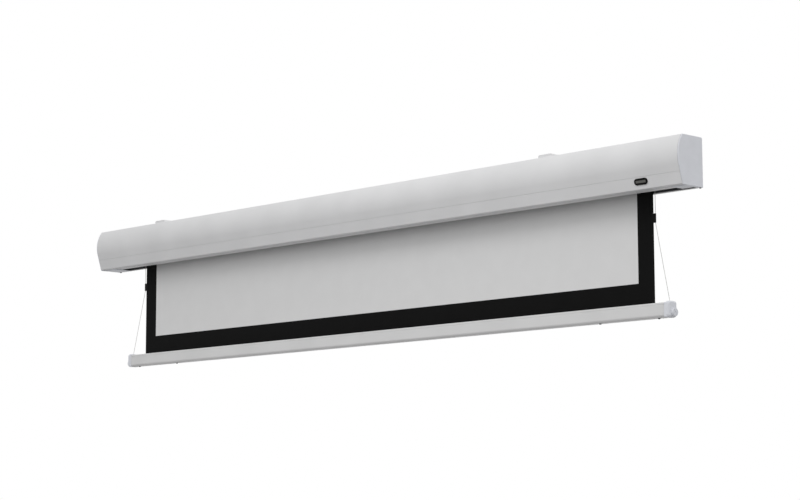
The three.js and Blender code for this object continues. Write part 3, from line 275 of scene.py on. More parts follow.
@dataclass(frozen=True)
class BraidedCord(Finish):
    """Polyester braid: two sets of strands wind round the cord and cross each other."""

    strands: float = 4.0
    lay_mm: float = 3.2
    # Painted shade: the braid's colour is darker in the hollows between the strands and lighter on their
    # crowns
    hollow_shade_tones: tuple[float, float] = (0.8, 1.04)

    def paint(self, tree: bpy.types.NodeTree, shader: bpy.types.Node, spot: bpy.types.NodeSocket) -> None:
        """Draw the braid along the cord's own map, whose U is one turn and whose V is the length in metres.

        Args:
            tree: The material's tree.
            shader: The shader to feed.
            spot: Object coordinates, which the braid doesn't need.
        """
        run = node(tree, "UVMap", uv_map="run").outputs[0]
        turn = node(tree, "SeparateXYZ", {"Vector": run}).outputs
        scales = (FULL_TURN * self.strands, FULL_TURN / (self.lay_mm * MM))
        around, along = (node(tree, "Math", {0: turn[i], 1: scale}, operation="MULTIPLY").outputs[0]
                         for i, scale in enumerate(scales))
        strands = []
        for mode in ("ADD", "SUBTRACT"):
            wave = node(tree, "Math", {0: along, 1: around}, operation=mode).outputs[0]
            strands.append(node(tree, "Math", {0: wave}, operation="SINE").outputs[0])
        weave = node(tree, "Math", {0: strands[0], 1: strands[1]}, operation="MULTIPLY").outputs[0]
        height = node(tree, "MapRange", {"Value": weave, "From Min": -1.0, "From Max": 1.0}).outputs[0]
        # Painted shade and highlight: the colour follows the weave's height, darker in the hollows
        links = {"Color": linear(self.colour), "Value": self.vary(tree, height, *self.hollow_shade_tones)}
        tree.links.new(node(tree, "HueSaturation", links).outputs[0], shader.inputs["Base Color"])
        shader.inputs["Roughness"].default_value = self.roughness
        self.press(tree, shader, height, self.grain_depth_mm)


@dataclass(frozen=True)
class Vinyl(Finish):
    """Projection vinyl: dead matt, with a fine texture of small pressed cells over a softer grain."""

    cell_mm: float = 0.9
    specular: float = 0.12

    def paint(self, tree: bpy.types.NodeTree, shader: bpy.types.Node, spot: bpy.types.NodeSocket) -> None:
        """Press the fine texture into the vinyl and let its colour drift slowly.

        Args:
            tree: The material's tree.
            shader: The shader to feed.
            spot: Object coordinates.
        """
        clouds = self.noise(tree, spot, self.cloud_mm)
        tree.links.new(self.shade(tree, clouds), shader.inputs["Base Color"])
        shader.inputs["Roughness"].default_value = self.roughness
        fine = self.noise(tree, spot, self.grain_mm)
        scale = 1 / (self.cell_mm * MM)
        cells = node(tree, "TexVoronoi", {"Vector": spot, "Scale": scale}, feature="SMOOTH_F1").outputs[0]
        both = node(tree, "Math", {0: fine, 1: cells}, operation="ADD").outputs[0]
        self.press(tree, shader, both, self.grain_depth_mm)


# Powder coat on aluminium: satin, with the slight orange peel of sprayed and baked powder.
# The peel is drawn at 1.6 mm, about twice its real size, so that it shows from a step away.
CASE_COAT = Finish("powder_coat_white", "E9E9EA", 0.5, grain_mm=1.6, grain_depth_mm=0.012, cloud_mm=140.0,
                   specular=0.35)
BAR_COAT = Finish("powder_coat_bar", "E6E6E6", 0.42, grain_mm=1.6, grain_depth_mm=0.012, cloud_mm=140.0)
STEEL_COAT = Finish("powder_coat_bracket", "EDEDEE", 0.45, grain_mm=1.6, grain_depth_mm=0.015)
# Moulded ABS: spark-eroded mould texture, which takes the gloss off
CAP_ABS = Finish("moulded_abs_white", "ECEEF4", 0.48, grain_mm=0.8, grain_depth_mm=0.01, cloud_mm=50.0)
BLACK_ABS = Finish("moulded_abs_black", "090909", 0.5, grain_mm=0.8, grain_depth_mm=0.012, cloud_share=0.1,
                   specular=0.08)
# Inside of the extrusions: the sprayed coat ends at the slots, and bare metal with a thin dull haze is left.
# Its dark grey is also painted shade, for the shadow inside the slot, on the toe and deep in the panel's
# groove
BARE_INSIDE_AND_SHADE = Finish("bare_extrusion_and_painted_shade", "4A4B4D", 0.7, grain_mm=2.0, cloud_mm=80.0, specular=0.2)
# PVC sheet with a matt white face, a black edge coating and a black back that stops light
WHITE_VINYL = Vinyl("projection_vinyl_white", "EDEDED", 0.92, grain_mm=2.4, grain_depth_mm=0.02,
                    cloud_share=0.01)
BLACK_VINYL = Vinyl("border_coating_black", "0B0B0B", 0.85, grain_mm=2.4, grain_depth_mm=0.02,
                    cloud_share=0.12)
BACK_VINYL = Vinyl("backing_black", "1D1D1F", 0.7, grain_mm=1.8, grain_depth_mm=0.03, cloud_share=0.1)
# Polyester braid, and the same cord wound up, where only the unevenness of its turns shows
CORD_BRAID = BraidedCord("braided_polyester", "D9D9D5", 0.75, grain_depth_mm=0.12)
WOUND_CORD = Finish("wound_polyester", "D2D2CE", 0.75, grain_mm=0.5, grain_depth_mm=0.1, cloud_mm=2.0,
                    cloud_share=0.08)
# Brushed and drawn metals: the tool's lines run along the X axis
BADGE_METAL = Finish("brushed_aluminium_plate", "62625F", 0.34, 0.85, 0.25, 0.006, stretch=(40.0, 1.0, 1.0))
ALUMINIUM = Finish("extruded_aluminium", "C6C8CB", 0.36, 1.0, 0.8, 0.008, stretch=(60.0, 1.0, 1.0))
STEEL = Finish("turned_steel", "A7A9AC", 0.33, 1.0, 0.3, 0.004, stretch=(1.0, 8.0, 8.0))
ZINC = Finish("zinc_plated_steel", "C3C7CB", 0.38, 1.0, 6.0, 0.004, cloud_mm=18.0, cloud_share=0.12)
DARK_STEEL = Finish("black_oxide_steel", "2B2B2D", 0.42, 0.8, 0.6, 0.006, cloud_mm=4.0, cloud_share=0.15)
# Moulded nylon: duller than ABS, as its fibres come near the surface
NYLON = Finish("moulded_nylon", "303338", 0.5, grain_mm=0.7, grain_depth_mm=0.015, cloud_share=0.06)


# Meshes


def box(low: tuple[float, float, float], high: tuple[float, float, float]) -> bmesh.types.BMesh:
    """Make a box.

    Args:
        low: Its lowest corner.
        high: Its highest corner.

    Returns:
        The box's mesh.
    """
    bm = bmesh.new()
    bmesh.ops.create_cube(bm, size=1.0)
    size = [b - a for a, b in zip(low, high)]
    centre = [(a + b) / 2 for a, b in zip(low, high)]
    bmesh.ops.scale(bm, verts=bm.verts[:], vec=size)
    bmesh.ops.translate(bm, verts=bm.verts[:], vec=centre)
    return bm


def rod(radius: float, length: float, steps: int = 48) -> bmesh.types.BMesh:
    """Make a rod that stands on the origin along Z.

    Args:
        radius: Its radius.
        length: Its length.
        steps: Its sides.

    Returns:
        The rod's mesh.
    """
    bm = bmesh.new()
    bmesh.ops.create_cone(bm, cap_ends=True, segments=steps, radius1=radius, radius2=radius, depth=length)
    bmesh.ops.translate(bm, verts=bm.verts[:], vec=(0, 0, length / 2))
    return bm


def moved(bm: bmesh.types.BMesh, spot: Iterable[float] = (0, 0, 0),
          turn: tuple[float, float, float] = (0, 0, 0)) -> bmesh.types.BMesh:
    """Turn a mesh about the origin and then move it.

    Args:
        bm: The mesh, which is changed.
        spot: Where its origin goes.
        turn: Its turns about X, Y and Z.

    Returns:
        The same mesh.
    """
    matrix = Matrix.Translation(Vector(spot)) @ Euler(turn).to_matrix().to_4x4()
    bmesh.ops.transform(bm, matrix=matrix, verts=bm.verts[:])
    return bm


def mirrored(bm: bmesh.types.BMesh) -> bmesh.types.BMesh:
    """Mirror a closed mesh to the other end of the screen.

    Args:
        bm: The mesh, which is changed.

    Returns:
        The same mesh, its faces pointing outwards.
    """
    bmesh.ops.scale(bm, verts=bm.verts[:], vec=(-1, 1, 1))
    bmesh.ops.recalc_face_normals(bm, faces=bm.faces[:])
    return bm


def merged(*meshes: bmesh.types.BMesh) -> bmesh.types.BMesh:
    """Put separate meshes into one.

    Args:
        meshes: The meshes, which are freed.

    Returns:
        A mesh that holds them all.
    """
    whole = bmesh.new()
    for bm in meshes:
        data = bpy.data.meshes.new("part")
        bm.to_mesh(data)
        whole.from_mesh(data)
        bpy.data.meshes.remove(data)
        bm.free()
    return whole


def carved(first: bmesh.types.BMesh, second: bmesh.types.BMesh,
           how: Carve = Carve.CUT) -> bmesh.types.BMesh:
    """Cut one closed mesh by another, or join the two.

    Args:
        first: The mesh that is worked on, which is freed.
        second: The tool, which is freed.
        how: What the tool does.

    Returns:
        The resulting mesh.
    """
    pieces = []
    for bm in (first, second):
        bmesh.ops.recalc_face_normals(bm, faces=bm.faces[:])
        data = bpy.data.meshes.new("tool")
        bm.to_mesh(data)
        bm.free()
        pieces.append(bpy.data.objects.new("tool", data))
        bpy.context.scene.collection.objects.link(pieces[-1])
    work = pieces[0].modifiers.new("carve", "BOOLEAN")
    work.operation = how.value
    work.solver = "EXACT"
    work.object = pieces[1]
    bpy.context.view_layer.update()
    done = pieces[0].evaluated_get(bpy.context.evaluated_depsgraph_get())
    result = bmesh.new()
    result.from_mesh(done.to_mesh())
    done.to_mesh_clear()
    for piece in pieces:
        data = piece.data
        bpy.data.objects.remove(piece)
        bpy.data.meshes.remove(data)
    bmesh.ops.remove_doubles(result, verts=result.verts[:], dist=1e-4)
    if not result.faces:
        raise ValueError(f"nothing is left after {how.name}")
    return result


def round_edges(bm: bmesh.types.BMesh, test: Callable[[Vector], bool], radius: float,
                steps: int = 3) -> bmesh.types.BMesh:
    """Round the edges whose two ends both pass a test.

    Args:
        bm: The mesh, which is changed.
        test: Says whether a point is on one of the edges.
        radius: The rounding's radius.
        steps: The rounding's facets.

    Returns:
        The same mesh.
    """
    edges = [e for e in bm.edges if all(test(v.co) for v in e.verts)]
    bmesh.ops.bevel(bm, geom=edges, offset=radius, offset_type="OFFSET", segments=steps, profile=0.5,
                    affect="EDGES", material=-1, clamp_overlap=True)
    return bm


def near(value: float, target: float) -> bool:
    """Say whether two lengths are the same to a hundredth of a millimetre."""
    return abs(value - target) < 0.01


def round_lines(bm: bmesh.types.BMesh, lines: Iterable[tuple[float, float, float]]) -> None:
    """Round edges that run along X.

    Args:
        bm: The mesh, which is changed.
        lines: The Y, the height and the radius of each.
    """
    for y, height, radius in lines:
        round_edges(bm, lambda p, y=y, h=height: near(p.y, y) and near(p.z, h), radius)


class Section:
    """A closed outline in the Y and height plane, drawn with lines and arcs and then swept along X."""

    def __init__(self) -> None:
        """Start with an empty outline."""
        self.bm = bmesh.new()
        self.first: bmesh.types.BMVert | None = None
        self.tip: bmesh.types.BMVert | None = None

    def start(self, y: float, height: float) -> Section:
        """Put the pen down.

        Args:
            y: The point's Y.
            height: The point's height.

        Returns:
            This section.
        """
        self.first = bmesh.ops.create_vert(self.bm, co=(0, y, height))["vert"][0]
        self.tip = self.first
        return self

    def line(self, *points: tuple[float, float]) -> Section:
        """Draw straight lines.

        Args:
            points: The (Y, height) pairs that they reach in turn.

        Returns:
            This section.
        """
        for y, height in points:
            self.tip = bmesh.ops.extrude_vert_indiv(self.bm, verts=[self.tip])["verts"][0]
            self.tip.co = (0, y, height)
        return self

    def arc(self, centre: tuple[float, float], turn: float, steps: int) -> Section:
        """Draw an arc from where the pen is.

        Args:
            centre: The arc's centre.
            turn: Its angle in radians, positive from Y towards up.
            steps: Its facets.

        Returns:
            This section.
        """
        made = bmesh.ops.spin(self.bm, geom=[self.tip], cent=(0, *centre), axis=X_AXIS, dvec=(0, 0, 0),
                              angle=turn, steps=steps, use_merge=False, use_normal_flip=False,
                              use_duplicate=False)
        self.tip = made["geom_last"][0]
        return self

    def close(self) -> Section:
        """Join the pen's place to the outline's first point.

        Returns:
            This section.
        """
        if (self.tip.co - self.first.co).length < 1e-3:
            bmesh.ops.weld_verts(self.bm, targetmap={self.tip: self.first})
        else:
            bmesh.ops.contextual_create(self.bm, geom=[self.tip, self.first])
        return self

    def rounded(self, low: tuple[float, float], high: tuple[float, float], radius: float,
                steps: int = 8) -> Section:
        """Draw a whole rectangle with round corners.

        Args:
            low: Its low corner.
            high: Its high corner.
            radius: The corners' radius.
            steps: The facets of each corner.

        Returns:
            This section.
        """
        (y0, h0), (y1, h1) = low, high
        self.start(y1, h0 + radius).line((y1, h1 - radius)).arc((y1 - radius, h1 - radius), QUARTER, steps)
        self.line((y0 + radius, h1)).arc((y0 + radius, h1 - radius), QUARTER, steps)
        self.line((y0, h0 + radius)).arc((y0 + radius, h0 + radius), QUARTER, steps)
        return self.line((y1 - radius, h0)).arc((y1 - radius, h0 + radius), QUARTER, steps).close()

    def sweep(self, low: float, high: float, holes: bool = False) -> bmesh.types.BMesh:
        """Fill the outline and sweep it along X.

        Args:
            low: The low end's X.
            high: The high end's X.
            holes: Whether the outline has others inside it that stay open.

        Returns:
            The solid's mesh.
        """
        bm = self.bm
        bmesh.ops.remove_doubles(bm, verts=bm.verts[:], dist=1e-4)
        if holes:
            bmesh.ops.triangle_fill(bm, edges=bm.edges[:], use_beauty=True, use_dissolve=False,
                                    normal=X_AXIS)
        else:
            bmesh.ops.contextual_create(bm, geom=bm.edges[:])
        bmesh.ops.translate(bm, verts=bm.verts[:], vec=(low, 0, 0))
        made = bmesh.ops.extrude_face_region(bm, geom=bm.faces[:], use_keep_orig=True)["geom"]
        tops = [v for v in made if isinstance(v, bmesh.types.BMVert)]
        bmesh.ops.translate(bm, verts=tops, vec=(high - low, 0, 0))
        bmesh.ops.recalc_face_normals(bm, faces=bm.faces[:])
        return bm


def turned(profile: list[tuple[float, float]], steps: int = 64) -> bmesh.types.BMesh:
    """Turn a profile about the Z axis, as on a lathe.

    Args:
        profile: (radius, height) pairs.
        steps: The facets of a full turn.

    Returns:
        The closed solid's mesh.
    """
    bm = Section().start(*profile[0]).line(*profile[1:]).bm
    bmesh.ops.spin(bm, geom=bm.verts[:] + bm.edges[:], cent=(0, 0, 0), axis=Z_AXIS, dvec=(0, 0, 0),
                   angle=FULL_TURN, steps=steps, use_merge=True, use_normal_flip=False, use_duplicate=False)
    bmesh.ops.remove_doubles(bm, verts=bm.verts[:], dist=1e-4)
    bmesh.ops.recalc_face_normals(bm, faces=bm.faces[:])
    return bm


def place(bm: bmesh.types.BMesh, name: str, finishes: list[Finish], replaces: tuple[str, ...],
          body: Body | str | None = None, sharp: float = 32.0) -> bpy.types.Object:
    """Turn a finished mesh into a piece of the scene, in metres and in the model's frame.

    Args:
        bm: The mesh in millimetres, which is freed.
        name: The piece's name.
        finishes: Its finishes, in the order of its faces' numbers.
        replaces: The CAD nodes that it stands for.
        body: The body that it rides on, or nothing for a piece that hangs between two and rides on neither.
        sharp: The angle in degrees from which an edge stays sharp.

    Returns:
        The piece.
    """
    bmesh.ops.translate(bm, verts=bm.verts[:], vec=(0, 0, -CASE_HEIGHT / 2))
    bmesh.ops.scale(bm, verts=bm.verts[:], vec=(MM, MM, MM))
    data = bpy.data.meshes.new(name)
    bm.to_mesh(data)
    bm.free()
    data.shade_smooth()
    data.set_sharp_from_angle(angle=math.radians(sharp))
    for finish in finishes:
        data.materials.append(finish.material())
    piece = bpy.data.objects.new(name, data)
    bpy.context.scene.collection.objects.link(piece)
    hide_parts(*replaces)
    if body is not None:
        piece.modifiers.new("flat_faces", "WEIGHTED_NORMAL").keep_sharp = True
        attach(piece, body.value if isinstance(body, Body) else body)
    log.info("%s: %d faces", name, len(data.polygons))
    return piece


# Sub-assemblies


@dataclass(frozen=True)
class FrontCurve:
    """The case's front: an arc above, running into a straight slope below."""

    depth: float = 114.0
    top_depth: float = 92.0
    below_top: float = 62.0
    slope: float = math.radians(17)
    nose: float = 2.6

    @property
    def bulge(self) -> float:
        """The height of the case's deepest point."""
        return CASE_HEIGHT - self.below_top

    @property
    def radius(self) -> float:
        """The arc's radius."""
        reach = self.depth - self.top_depth
        return (self.below_top ** 2 + reach ** 2) / (2 * reach)

    @property
    def centre(self) -> tuple[float, float]:
        """The arc's centre."""
        return (self.radius - self.depth, self.bulge)

    def slope_top(self, inset: float) -> float:
        """Give the height where the slope starts, at a distance inside the surface."""
        return self.bulge - (self.radius - inset) * math.sin(self.slope)

    def angle(self, height: float, inset: float = 0.0) -> float:
        """Give the direction in which the front faces.

        Args:
            height: The height of the place.
            inset: Its distance inside the surface.

        Returns:
            The direction's angle from Y towards up.
        """
        sine = (height - self.bulge) / (self.radius - inset)
        return math.pi - math.asin(max(sine, -math.sin(self.slope)))

    def at(self, height: float, inset: float = 0.0) -> tuple[float, float]:
        """Give a point of the front.

        Args:
            height: The point's height.
            inset: Its distance inside the surface.

        Returns:
            The point's Y and height.
        """
        y = self.centre[0] + (self.radius - inset) * math.cos(self.angle(height, inset))
        return (y + max(self.slope_top(inset) - height, 0.0) * math.tan(self.slope), height)

    def draw(self, section: Section, inset: float, bottom: float) -> Section:
        """Draw the front downwards from where the pen is on it.

        Args:
            section: The outline.
            inset: The distance inside the surface.
            bottom: The height where the drawing stops.

        Returns:
            The outline.
        """
        top = section.tip.co.z
        turn = self.angle(bottom, inset) - self.angle(top, inset)
        if turn > 1e-4:
            section.arc(self.centre, turn, FRONT_STEPS)
        return section.line(self.at(bottom, inset))

    def draw_nose(self, section: Section, bottom: float = 0.0) -> Section:
        """Draw the front and the rounded corner between it and the underside.

        Args:
            section: The outline.
            bottom: The underside's height.

        Returns:
            The outline.
        """
        centre = self.at(bottom + self.nose, self.nose)
        start = self.angle(bottom + self.nose, self.nose)
        self.draw(section, 0.0, centre[1] + self.nose * math.sin(start))
        return section.arc(centre, 3 * QUARTER - start, CORNER_STEPS)


@dataclass(frozen=True)
class PanScrew:
    """A cross-head pan screw that points up, its seat at the origin."""

    radius: float = 2.0
    length: float = 8.0
    head: float = 3.5
    head_height: float = 2.8
    cross: float = 1.0
    cross_depth: float = 1.2
    cross_share: float = 0.55
    fullness: float = 0.7

    def mesh(self) -> bmesh.types.BMesh:
        """Make the screw.

        Returns:
            Its mesh.
        """
        half = self.head / 2
        dome = [(math.sin(a) * half + half, -self.head_height * math.cos(a) ** self.fullness)
                for a in (QUARTER * i / 6 for i in range(6))]
        shank = [(self.radius, 0), (self.radius, self.length), (0, self.length)]
        bm = turned([(0, -self.head_height), *dome, (self.head, 0), *shank], 32)
        reach = self.head * self.cross_share
        for a, b in ((reach, self.cross / 2), (self.cross / 2, reach)):
            slot = box((-a, -b, -self.head_height - OVERRUN), (a, b, self.cross_depth - self.head_height))
            bm = carved(bm, slot)
        return bm


@dataclass(frozen=True)
class Gland:
    """A cable gland that points up: a six-sided flange with a round, domed bush in it."""

    y: float = -30.0
    height: float = 30.0
    radius: float = 9.0
    bore: float = 4.5
    depth: float = 9.8
    rise: float = 3.0
    shoulder: float = 0.6
    flange: float = 11.9
    flange_bore: float = 6.0
    thickness: float = 2.2
    edge: float = 0.4

    def mesh(self) -> bmesh.types.BMesh:
        """Make the gland.

        Returns:
            Its mesh.
        """
        flange = rod(self.flange, self.thickness, 6)
        bmesh.ops.bevel(flange, geom=flange.edges[:], offset=self.edge, offset_type="OFFSET", segments=2,
                        profile=0.5, affect="EDGES", material=-1)
        foot = (self.bore, -self.depth)
        side = [(self.radius, -self.depth), (self.radius, -0.2), (self.radius, self.shoulder)]
        dome = [(self.radius - 0.4, self.rise - 0.5), (self.radius - 1.4, self.rise)]
        mouth = [(self.bore + 0.7, self.rise), (self.bore, self.rise - self.shoulder)]
        bush = turned([foot, *side, *dome, *mouth, foot])
        hole = moved(rod(self.flange_bore, 8.0), (0, 0, -2))
        return carved(carved(flange, hole), bush, Carve.ADD)


@dataclass(frozen=True)
class Badge:
    """A bare brushed plate let into a black surround with round ends, both lying on the origin."""

    height: float = 22.5
    half: tuple[float, float] = (9.9, 24.8)
    thickness: float = 2.5
    edge: float = 0.8
    plate_half: tuple[float, float] = (3.6, 18.4)
    pocket_corner: float = 0.8
    pocket_floor: float = 1.6
    plate_corner: float = 0.6
    plate_top: float = 2.45
    plate_edge: float = 0.15

    def slab(self, half: tuple[float, float], corner: float, steps: int,
             span: tuple[float, float]) -> bmesh.types.BMesh:
        """Make a flat piece with round corners.

        Args:
            half: Its half width and half length.
            corner: The corners' radius.
            steps: The facets of each corner.
            span: The heights of its two faces.

        Returns:
            The mesh, drawn with its faces across X.
        """
        wide, long = half
        return Section().rounded((-wide, -long), (wide, long), corner, steps).sweep(*span)

    def meshes(self) -> tuple[bmesh.types.BMesh, bmesh.types.BMesh]:
        """Make the surround and the plate.

        Returns:
            The two meshes, lying flat with their length along X.
        """
        surround = self.slab(self.half, self.half[0], 14, (SEAT_GAP, self.thickness))
        round_edges(surround, lambda p: near(p.x, self.thickness), self.edge, 4)
        room = tuple(size + SEAT_GAP for size in self.plate_half)
        pocket = self.slab(room, self.pocket_corner, 4, (self.pocket_floor, self.thickness + OVERRUN))
        surround = carved(surround, pocket)
        seat = self.pocket_floor + SEAT_GAP / 2
        plate = self.slab(self.plate_half, self.plate_corner, 4, (seat, self.plate_top))
        round_edges(plate, lambda p: near(p.x, self.plate_top), self.plate_edge, 2)
        flat = Matrix(((0, 0, 1), (0, 1, 0), (1, 0, 0)))
        for bm in (surround, plate):
            bmesh.ops.rotate(bm, verts=bm.verts[:], cent=(0, 0, 0), matrix=flat)
            bmesh.ops.recalc_face_normals(bm, faces=bm.faces[:])
        return surround, plate


@dataclass(frozen=True)
class Case:
    """The case: its extrusion, its front panel, its end caps and what is fixed to them."""

    front: FrontCurve = field(default_factory=FrontCurve)
    extrusion_end: float = 1405.0
    case_end: float = 1409.0
    wall: float = 2.5
    edge_radius: float = 5.0
    seam: float = 36.0
    seam_gap: float = 0.3
    seam_edge: float = 0.25
    recess: float = 3.3
    recess_low: float = 90.0
    recess_edge: float = 0.5
    toe: tuple[float, float] = (7.0, 5.0)
    toe_taper: float = 2.0
    toe_drop: float = 2.3
    toe_edge: float = 0.6
    rail_mouth: float = 9.0
    rail_width: float = 18.0
    rail_depth: float = 5.5
    rail_wall: float = 2.0
    slot_front: float = 42.0
    slot_bead: float = 6.0
    lip_round: float = 2.2
    groove_y: float = 70.0
    groove_width: float = 3.2
    groove_depth: float = 3.0
    groove_shade_from: float = 0.4
    groove_edges: tuple[float, float] = (0.3, 1.2)
    clip_rise: float = 10.0
    clip_root: float = 8.0
    clip: float = 2.2
    cap_round: float = 1.6
    cap_gap: float = 0.8
    cap_seam: float = 0.5
    tongue: float = 2.5
    tongue_end: tuple[float, float] = (1337.0, 1354.0)
    tongue_back: tuple[float, float] = (7.5, 28.0)
    tongue_web: float = 9.0
    tongue_gap: float = 0.5
    tongue_edge: float = 0.6
    badge_from_end: float = 150.5
    screw_x: float = 1401.0
    screw_y: float = -3.6
    screw_hole: float = 2.3
    screw_head: float = 1.9

    def corner(self, section: Section) -> Section:
        """Draw the top's front corner, from the flat top onto the front.

        Args:
            section: The outline, with its pen on the flat top where the corner starts.

        Returns:
            The outline.
        """
        height = CASE_HEIGHT - self.edge_radius
        centre = self.front.at(height, self.edge_radius)
        turn = self.front.angle(height, self.edge_radius) - QUARTER
        return section.arc(centre, turn, CORNER_STEPS)

    def corner_start(self) -> tuple[float, float]:
        """Give the point of the flat top where the front corner starts."""
        return (self.front.at(CASE_HEIGHT - self.edge_radius, self.edge_radius)[0], CASE_HEIGHT)

    def bare_inside_and_shade(self, bm: bmesh.types.BMesh) -> None:
        """Leave bare the faces that look into the case or lie deep in the panel's groove, and darken them as
        painted shade.

        Args:
            bm: The mesh of one of the case's shells, whose second finish is the bare one, dark as painted
                shade.
        """
        middle = Vector((0, RAIL_Y, self.front.bulge))
        groove_front, groove_back = -self.groove_y - self.groove_width - SLACK, SLACK - self.groove_y
        for face in bm.faces:
            spot = face.calc_center_median()
            reach = spot - middle
            # Painted shade: inward faces above the underside and the groove's deep faces take the dark
            # finish
            inside = reach.y * face.normal.y + reach.z * face.normal.z < 0 and spot.z > 0
            deep = self.groove_shade_from < spot.z < self.groove_depth + SLACK
            groove_shadow = deep and groove_front < spot.y < groove_back
            if abs(face.normal.x) < LOOKS_ALONG and (inside or groove_shadow):
                face.material_index = 1

    def housing(self) -> None:
        """Make the curved extrusion, with the rail in its top and the slot's back lip below."""
        low = self.seam + self.seam_gap
        rail_top = CASE_HEIGHT - self.wall
        floor = rail_top - self.rail_depth
        under = floor - self.rail_wall
        rail_front, rail_back = RAIL_Y - self.rail_width / 2, RAIL_Y + self.rail_width / 2
        mouth_front, mouth_back = RAIL_Y - self.rail_mouth / 2, RAIL_Y + self.rail_mouth / 2
        inner = -self.recess - self.wall
        toe, toe_height = self.toe
        section = self.corner(Section().start(*self.corner_start()))
        self.front.draw(section, 0.0, low)
        section.line(self.front.at(low, self.wall))
        turn = self.front.angle(rail_top, self.wall) - self.front.angle(low, self.wall)
        section.line(self.front.at(self.front.slope_top(self.wall), self.wall))
        section.arc(self.front.centre, turn, FRONT_STEPS)
        section.line((rail_front - self.rail_wall, rail_top), (rail_front - self.rail_wall, under))
        section.line((rail_back + self.rail_wall, under), (rail_back + self.rail_wall, rail_top))
        section.line((inner, rail_top), (inner, self.recess_low - self.wall))
        section.line((-self.wall, self.recess_low - self.wall), (-self.wall, toe_height + self.toe_taper))
        # The toe's front face is split at the underside's height: the part above takes the dark finish as
        # painted shade, the part below stays coated
        section.line((-toe, toe_height), (-toe, 0), (-toe, -self.toe_drop), (0, -self.toe_drop))
        section.line((0, self.recess_low), (-self.recess, self.recess_low))
        back_corner = (-self.recess - self.edge_radius, CASE_HEIGHT - self.edge_radius)
        section.line((-self.recess, back_corner[1])).arc(back_corner, QUARTER, CORNER_STEPS)
        section.line((mouth_back, CASE_HEIGHT), (mouth_back, rail_top), (rail_back, rail_top))
        section.line((rail_back, floor), (rail_front, floor), (rail_front, rail_top))
        section.line((mouth_front, rail_top), (mouth_front, CASE_HEIGHT)).close()
        bm = section.sweep(-self.extrusion_end, self.extrusion_end)
        round_lines(bm, (
            (self.front.at(low)[0], low, self.seam_edge),
            (-toe, -self.toe_drop, self.toe_edge),
            (0.0, -self.toe_drop, self.toe_edge),
            (0.0, self.recess_low, self.recess_edge)))
        web = self.extrusion_end - self.tongue_web - self.tongue_gap
        for side in Side:
            start, stop = sorted((side.value * web, side.value * (self.extrusion_end + OVERRUN)))
            room = box((start, -toe - OVERRUN, -self.toe_drop - OVERRUN), (stop, OVERRUN, 0))
            bm = carved(bm, room)
        self.bare_inside_and_shade(bm)
        place(bm, "case_skin", [CASE_COAT, BARE_INSIDE_AND_SHADE], ("case_housing",), Body.CASE)

    def panel(self) -> None:
        """Make the clip-on panel along the lower front, with the thin groove in its underside."""
        wall = self.wall
        groove_front, groove_back = -self.groove_y - self.groove_width, -self.groove_y
        inner = wall + SEAT_GAP
        root = self.seam - self.clip_root
        high = self.seam + self.clip_rise
        section = Section().start(*self.front.at(self.seam))
        self.front.draw_nose(section)
        section.line((groove_front, 0), (groove_front, self.groove_depth))
        section.line((groove_back, self.groove_depth), (groove_back, 0))
        section.line((-self.slot_front, 0), (-self.slot_front, self.slot_bead))
        section.line((-self.slot_front - wall, self.slot_bead), (-self.slot_front - wall, wall))
        section.line((groove_back + wall, wall), (groove_back + wall, self.groove_depth + wall))
        section.line((groove_front - wall, self.groove_depth + wall), (groove_front - wall, wall))
        nose = self.front.at(self.front.nose, self.front.nose)
        section.line((nose[0], wall)).arc(nose, self.front.angle(0.0) - 3 * QUARTER, SMALL_STEPS)
        section.line(self.front.at(root, wall), self.front.at(root, inner + self.clip))
        section.line(self.front.at(high, inner + self.clip), self.front.at(high, inner))
        section.line(self.front.at(self.seam, inner)).close()
        bm = section.sweep(-self.extrusion_end, self.extrusion_end)
        front_edge, back_edge = self.groove_edges
        round_lines(bm, (
            (self.front.at(self.seam)[0], self.seam, self.seam_edge),
            (-self.slot_front, 0.0, self.lip_round),
            (groove_back, 0.0, back_edge),
            (groove_front, 0.0, front_edge)))
        self.bare_inside_and_shade(bm)
        place(bm, "front_panel", [CASE_COAT, BARE_INSIDE_AND_SHADE], ("lower_front_panel",), Body.CASE)

    def cap_tongue(self, side: Side) -> bmesh.types.BMesh:
        """Make a cap's tongue, which closes the slot's end. The left one is longer and reaches further back.

        Args:
            side: The end of the case.

        Returns:
            The tongue's mesh, drawn at the right end.
        """
        number = list(Side).index(side)
        end, back = self.tongue_end[number], self.tongue_back[number]
        front = self.groove_y + self.groove_width + self.tongue_gap
        tongue = box((end, -front, -self.tongue), (self.extrusion_end + 2 * OVERRUN, -OVERRUN, 0))
        round_edges(tongue, lambda p: near(p.x, end), self.tongue_edge)
        notch = box((end - OVERRUN, -back, -self.tongue - OVERRUN),
                    (self.extrusion_end - self.tongue_web, OVERRUN, OVERRUN))
        return carved(tongue, notch)

    def cap(self, side: Side) -> bmesh.types.BMesh:
        """Make an end cap: a plate with a round rim and a tongue under the slot's end.

        Args:
            side: The end of the case.

        Returns:
            The cap's mesh, drawn at the right end.
        """
        section = self.corner(Section().start(*self.corner_start()))
        self.front.draw_nose(section, -self.tongue)
        section.line((0, -self.tongue), (0, CASE_HEIGHT - self.edge_radius))
        back_corner = (-self.edge_radius, CASE_HEIGHT - self.edge_radius)
        joint = self.extrusion_end + self.cap_gap
        plate = section.arc(back_corner, QUARTER, CORNER_STEPS).close().sweep(joint, self.case_end)
        round_edges(plate, lambda p: near(p.x, self.case_end), self.cap_round, 5)
        round_edges(plate, lambda p: near(p.x, joint), self.cap_seam, 2)
        cap = carved(plate, self.cap_tongue(side), Carve.ADD)
        hole = moved(rod(self.screw_hole, 6.0), (self.screw_x, self.screw_y, -self.tongue - OVERRUN))
        return carved(cap, hole)

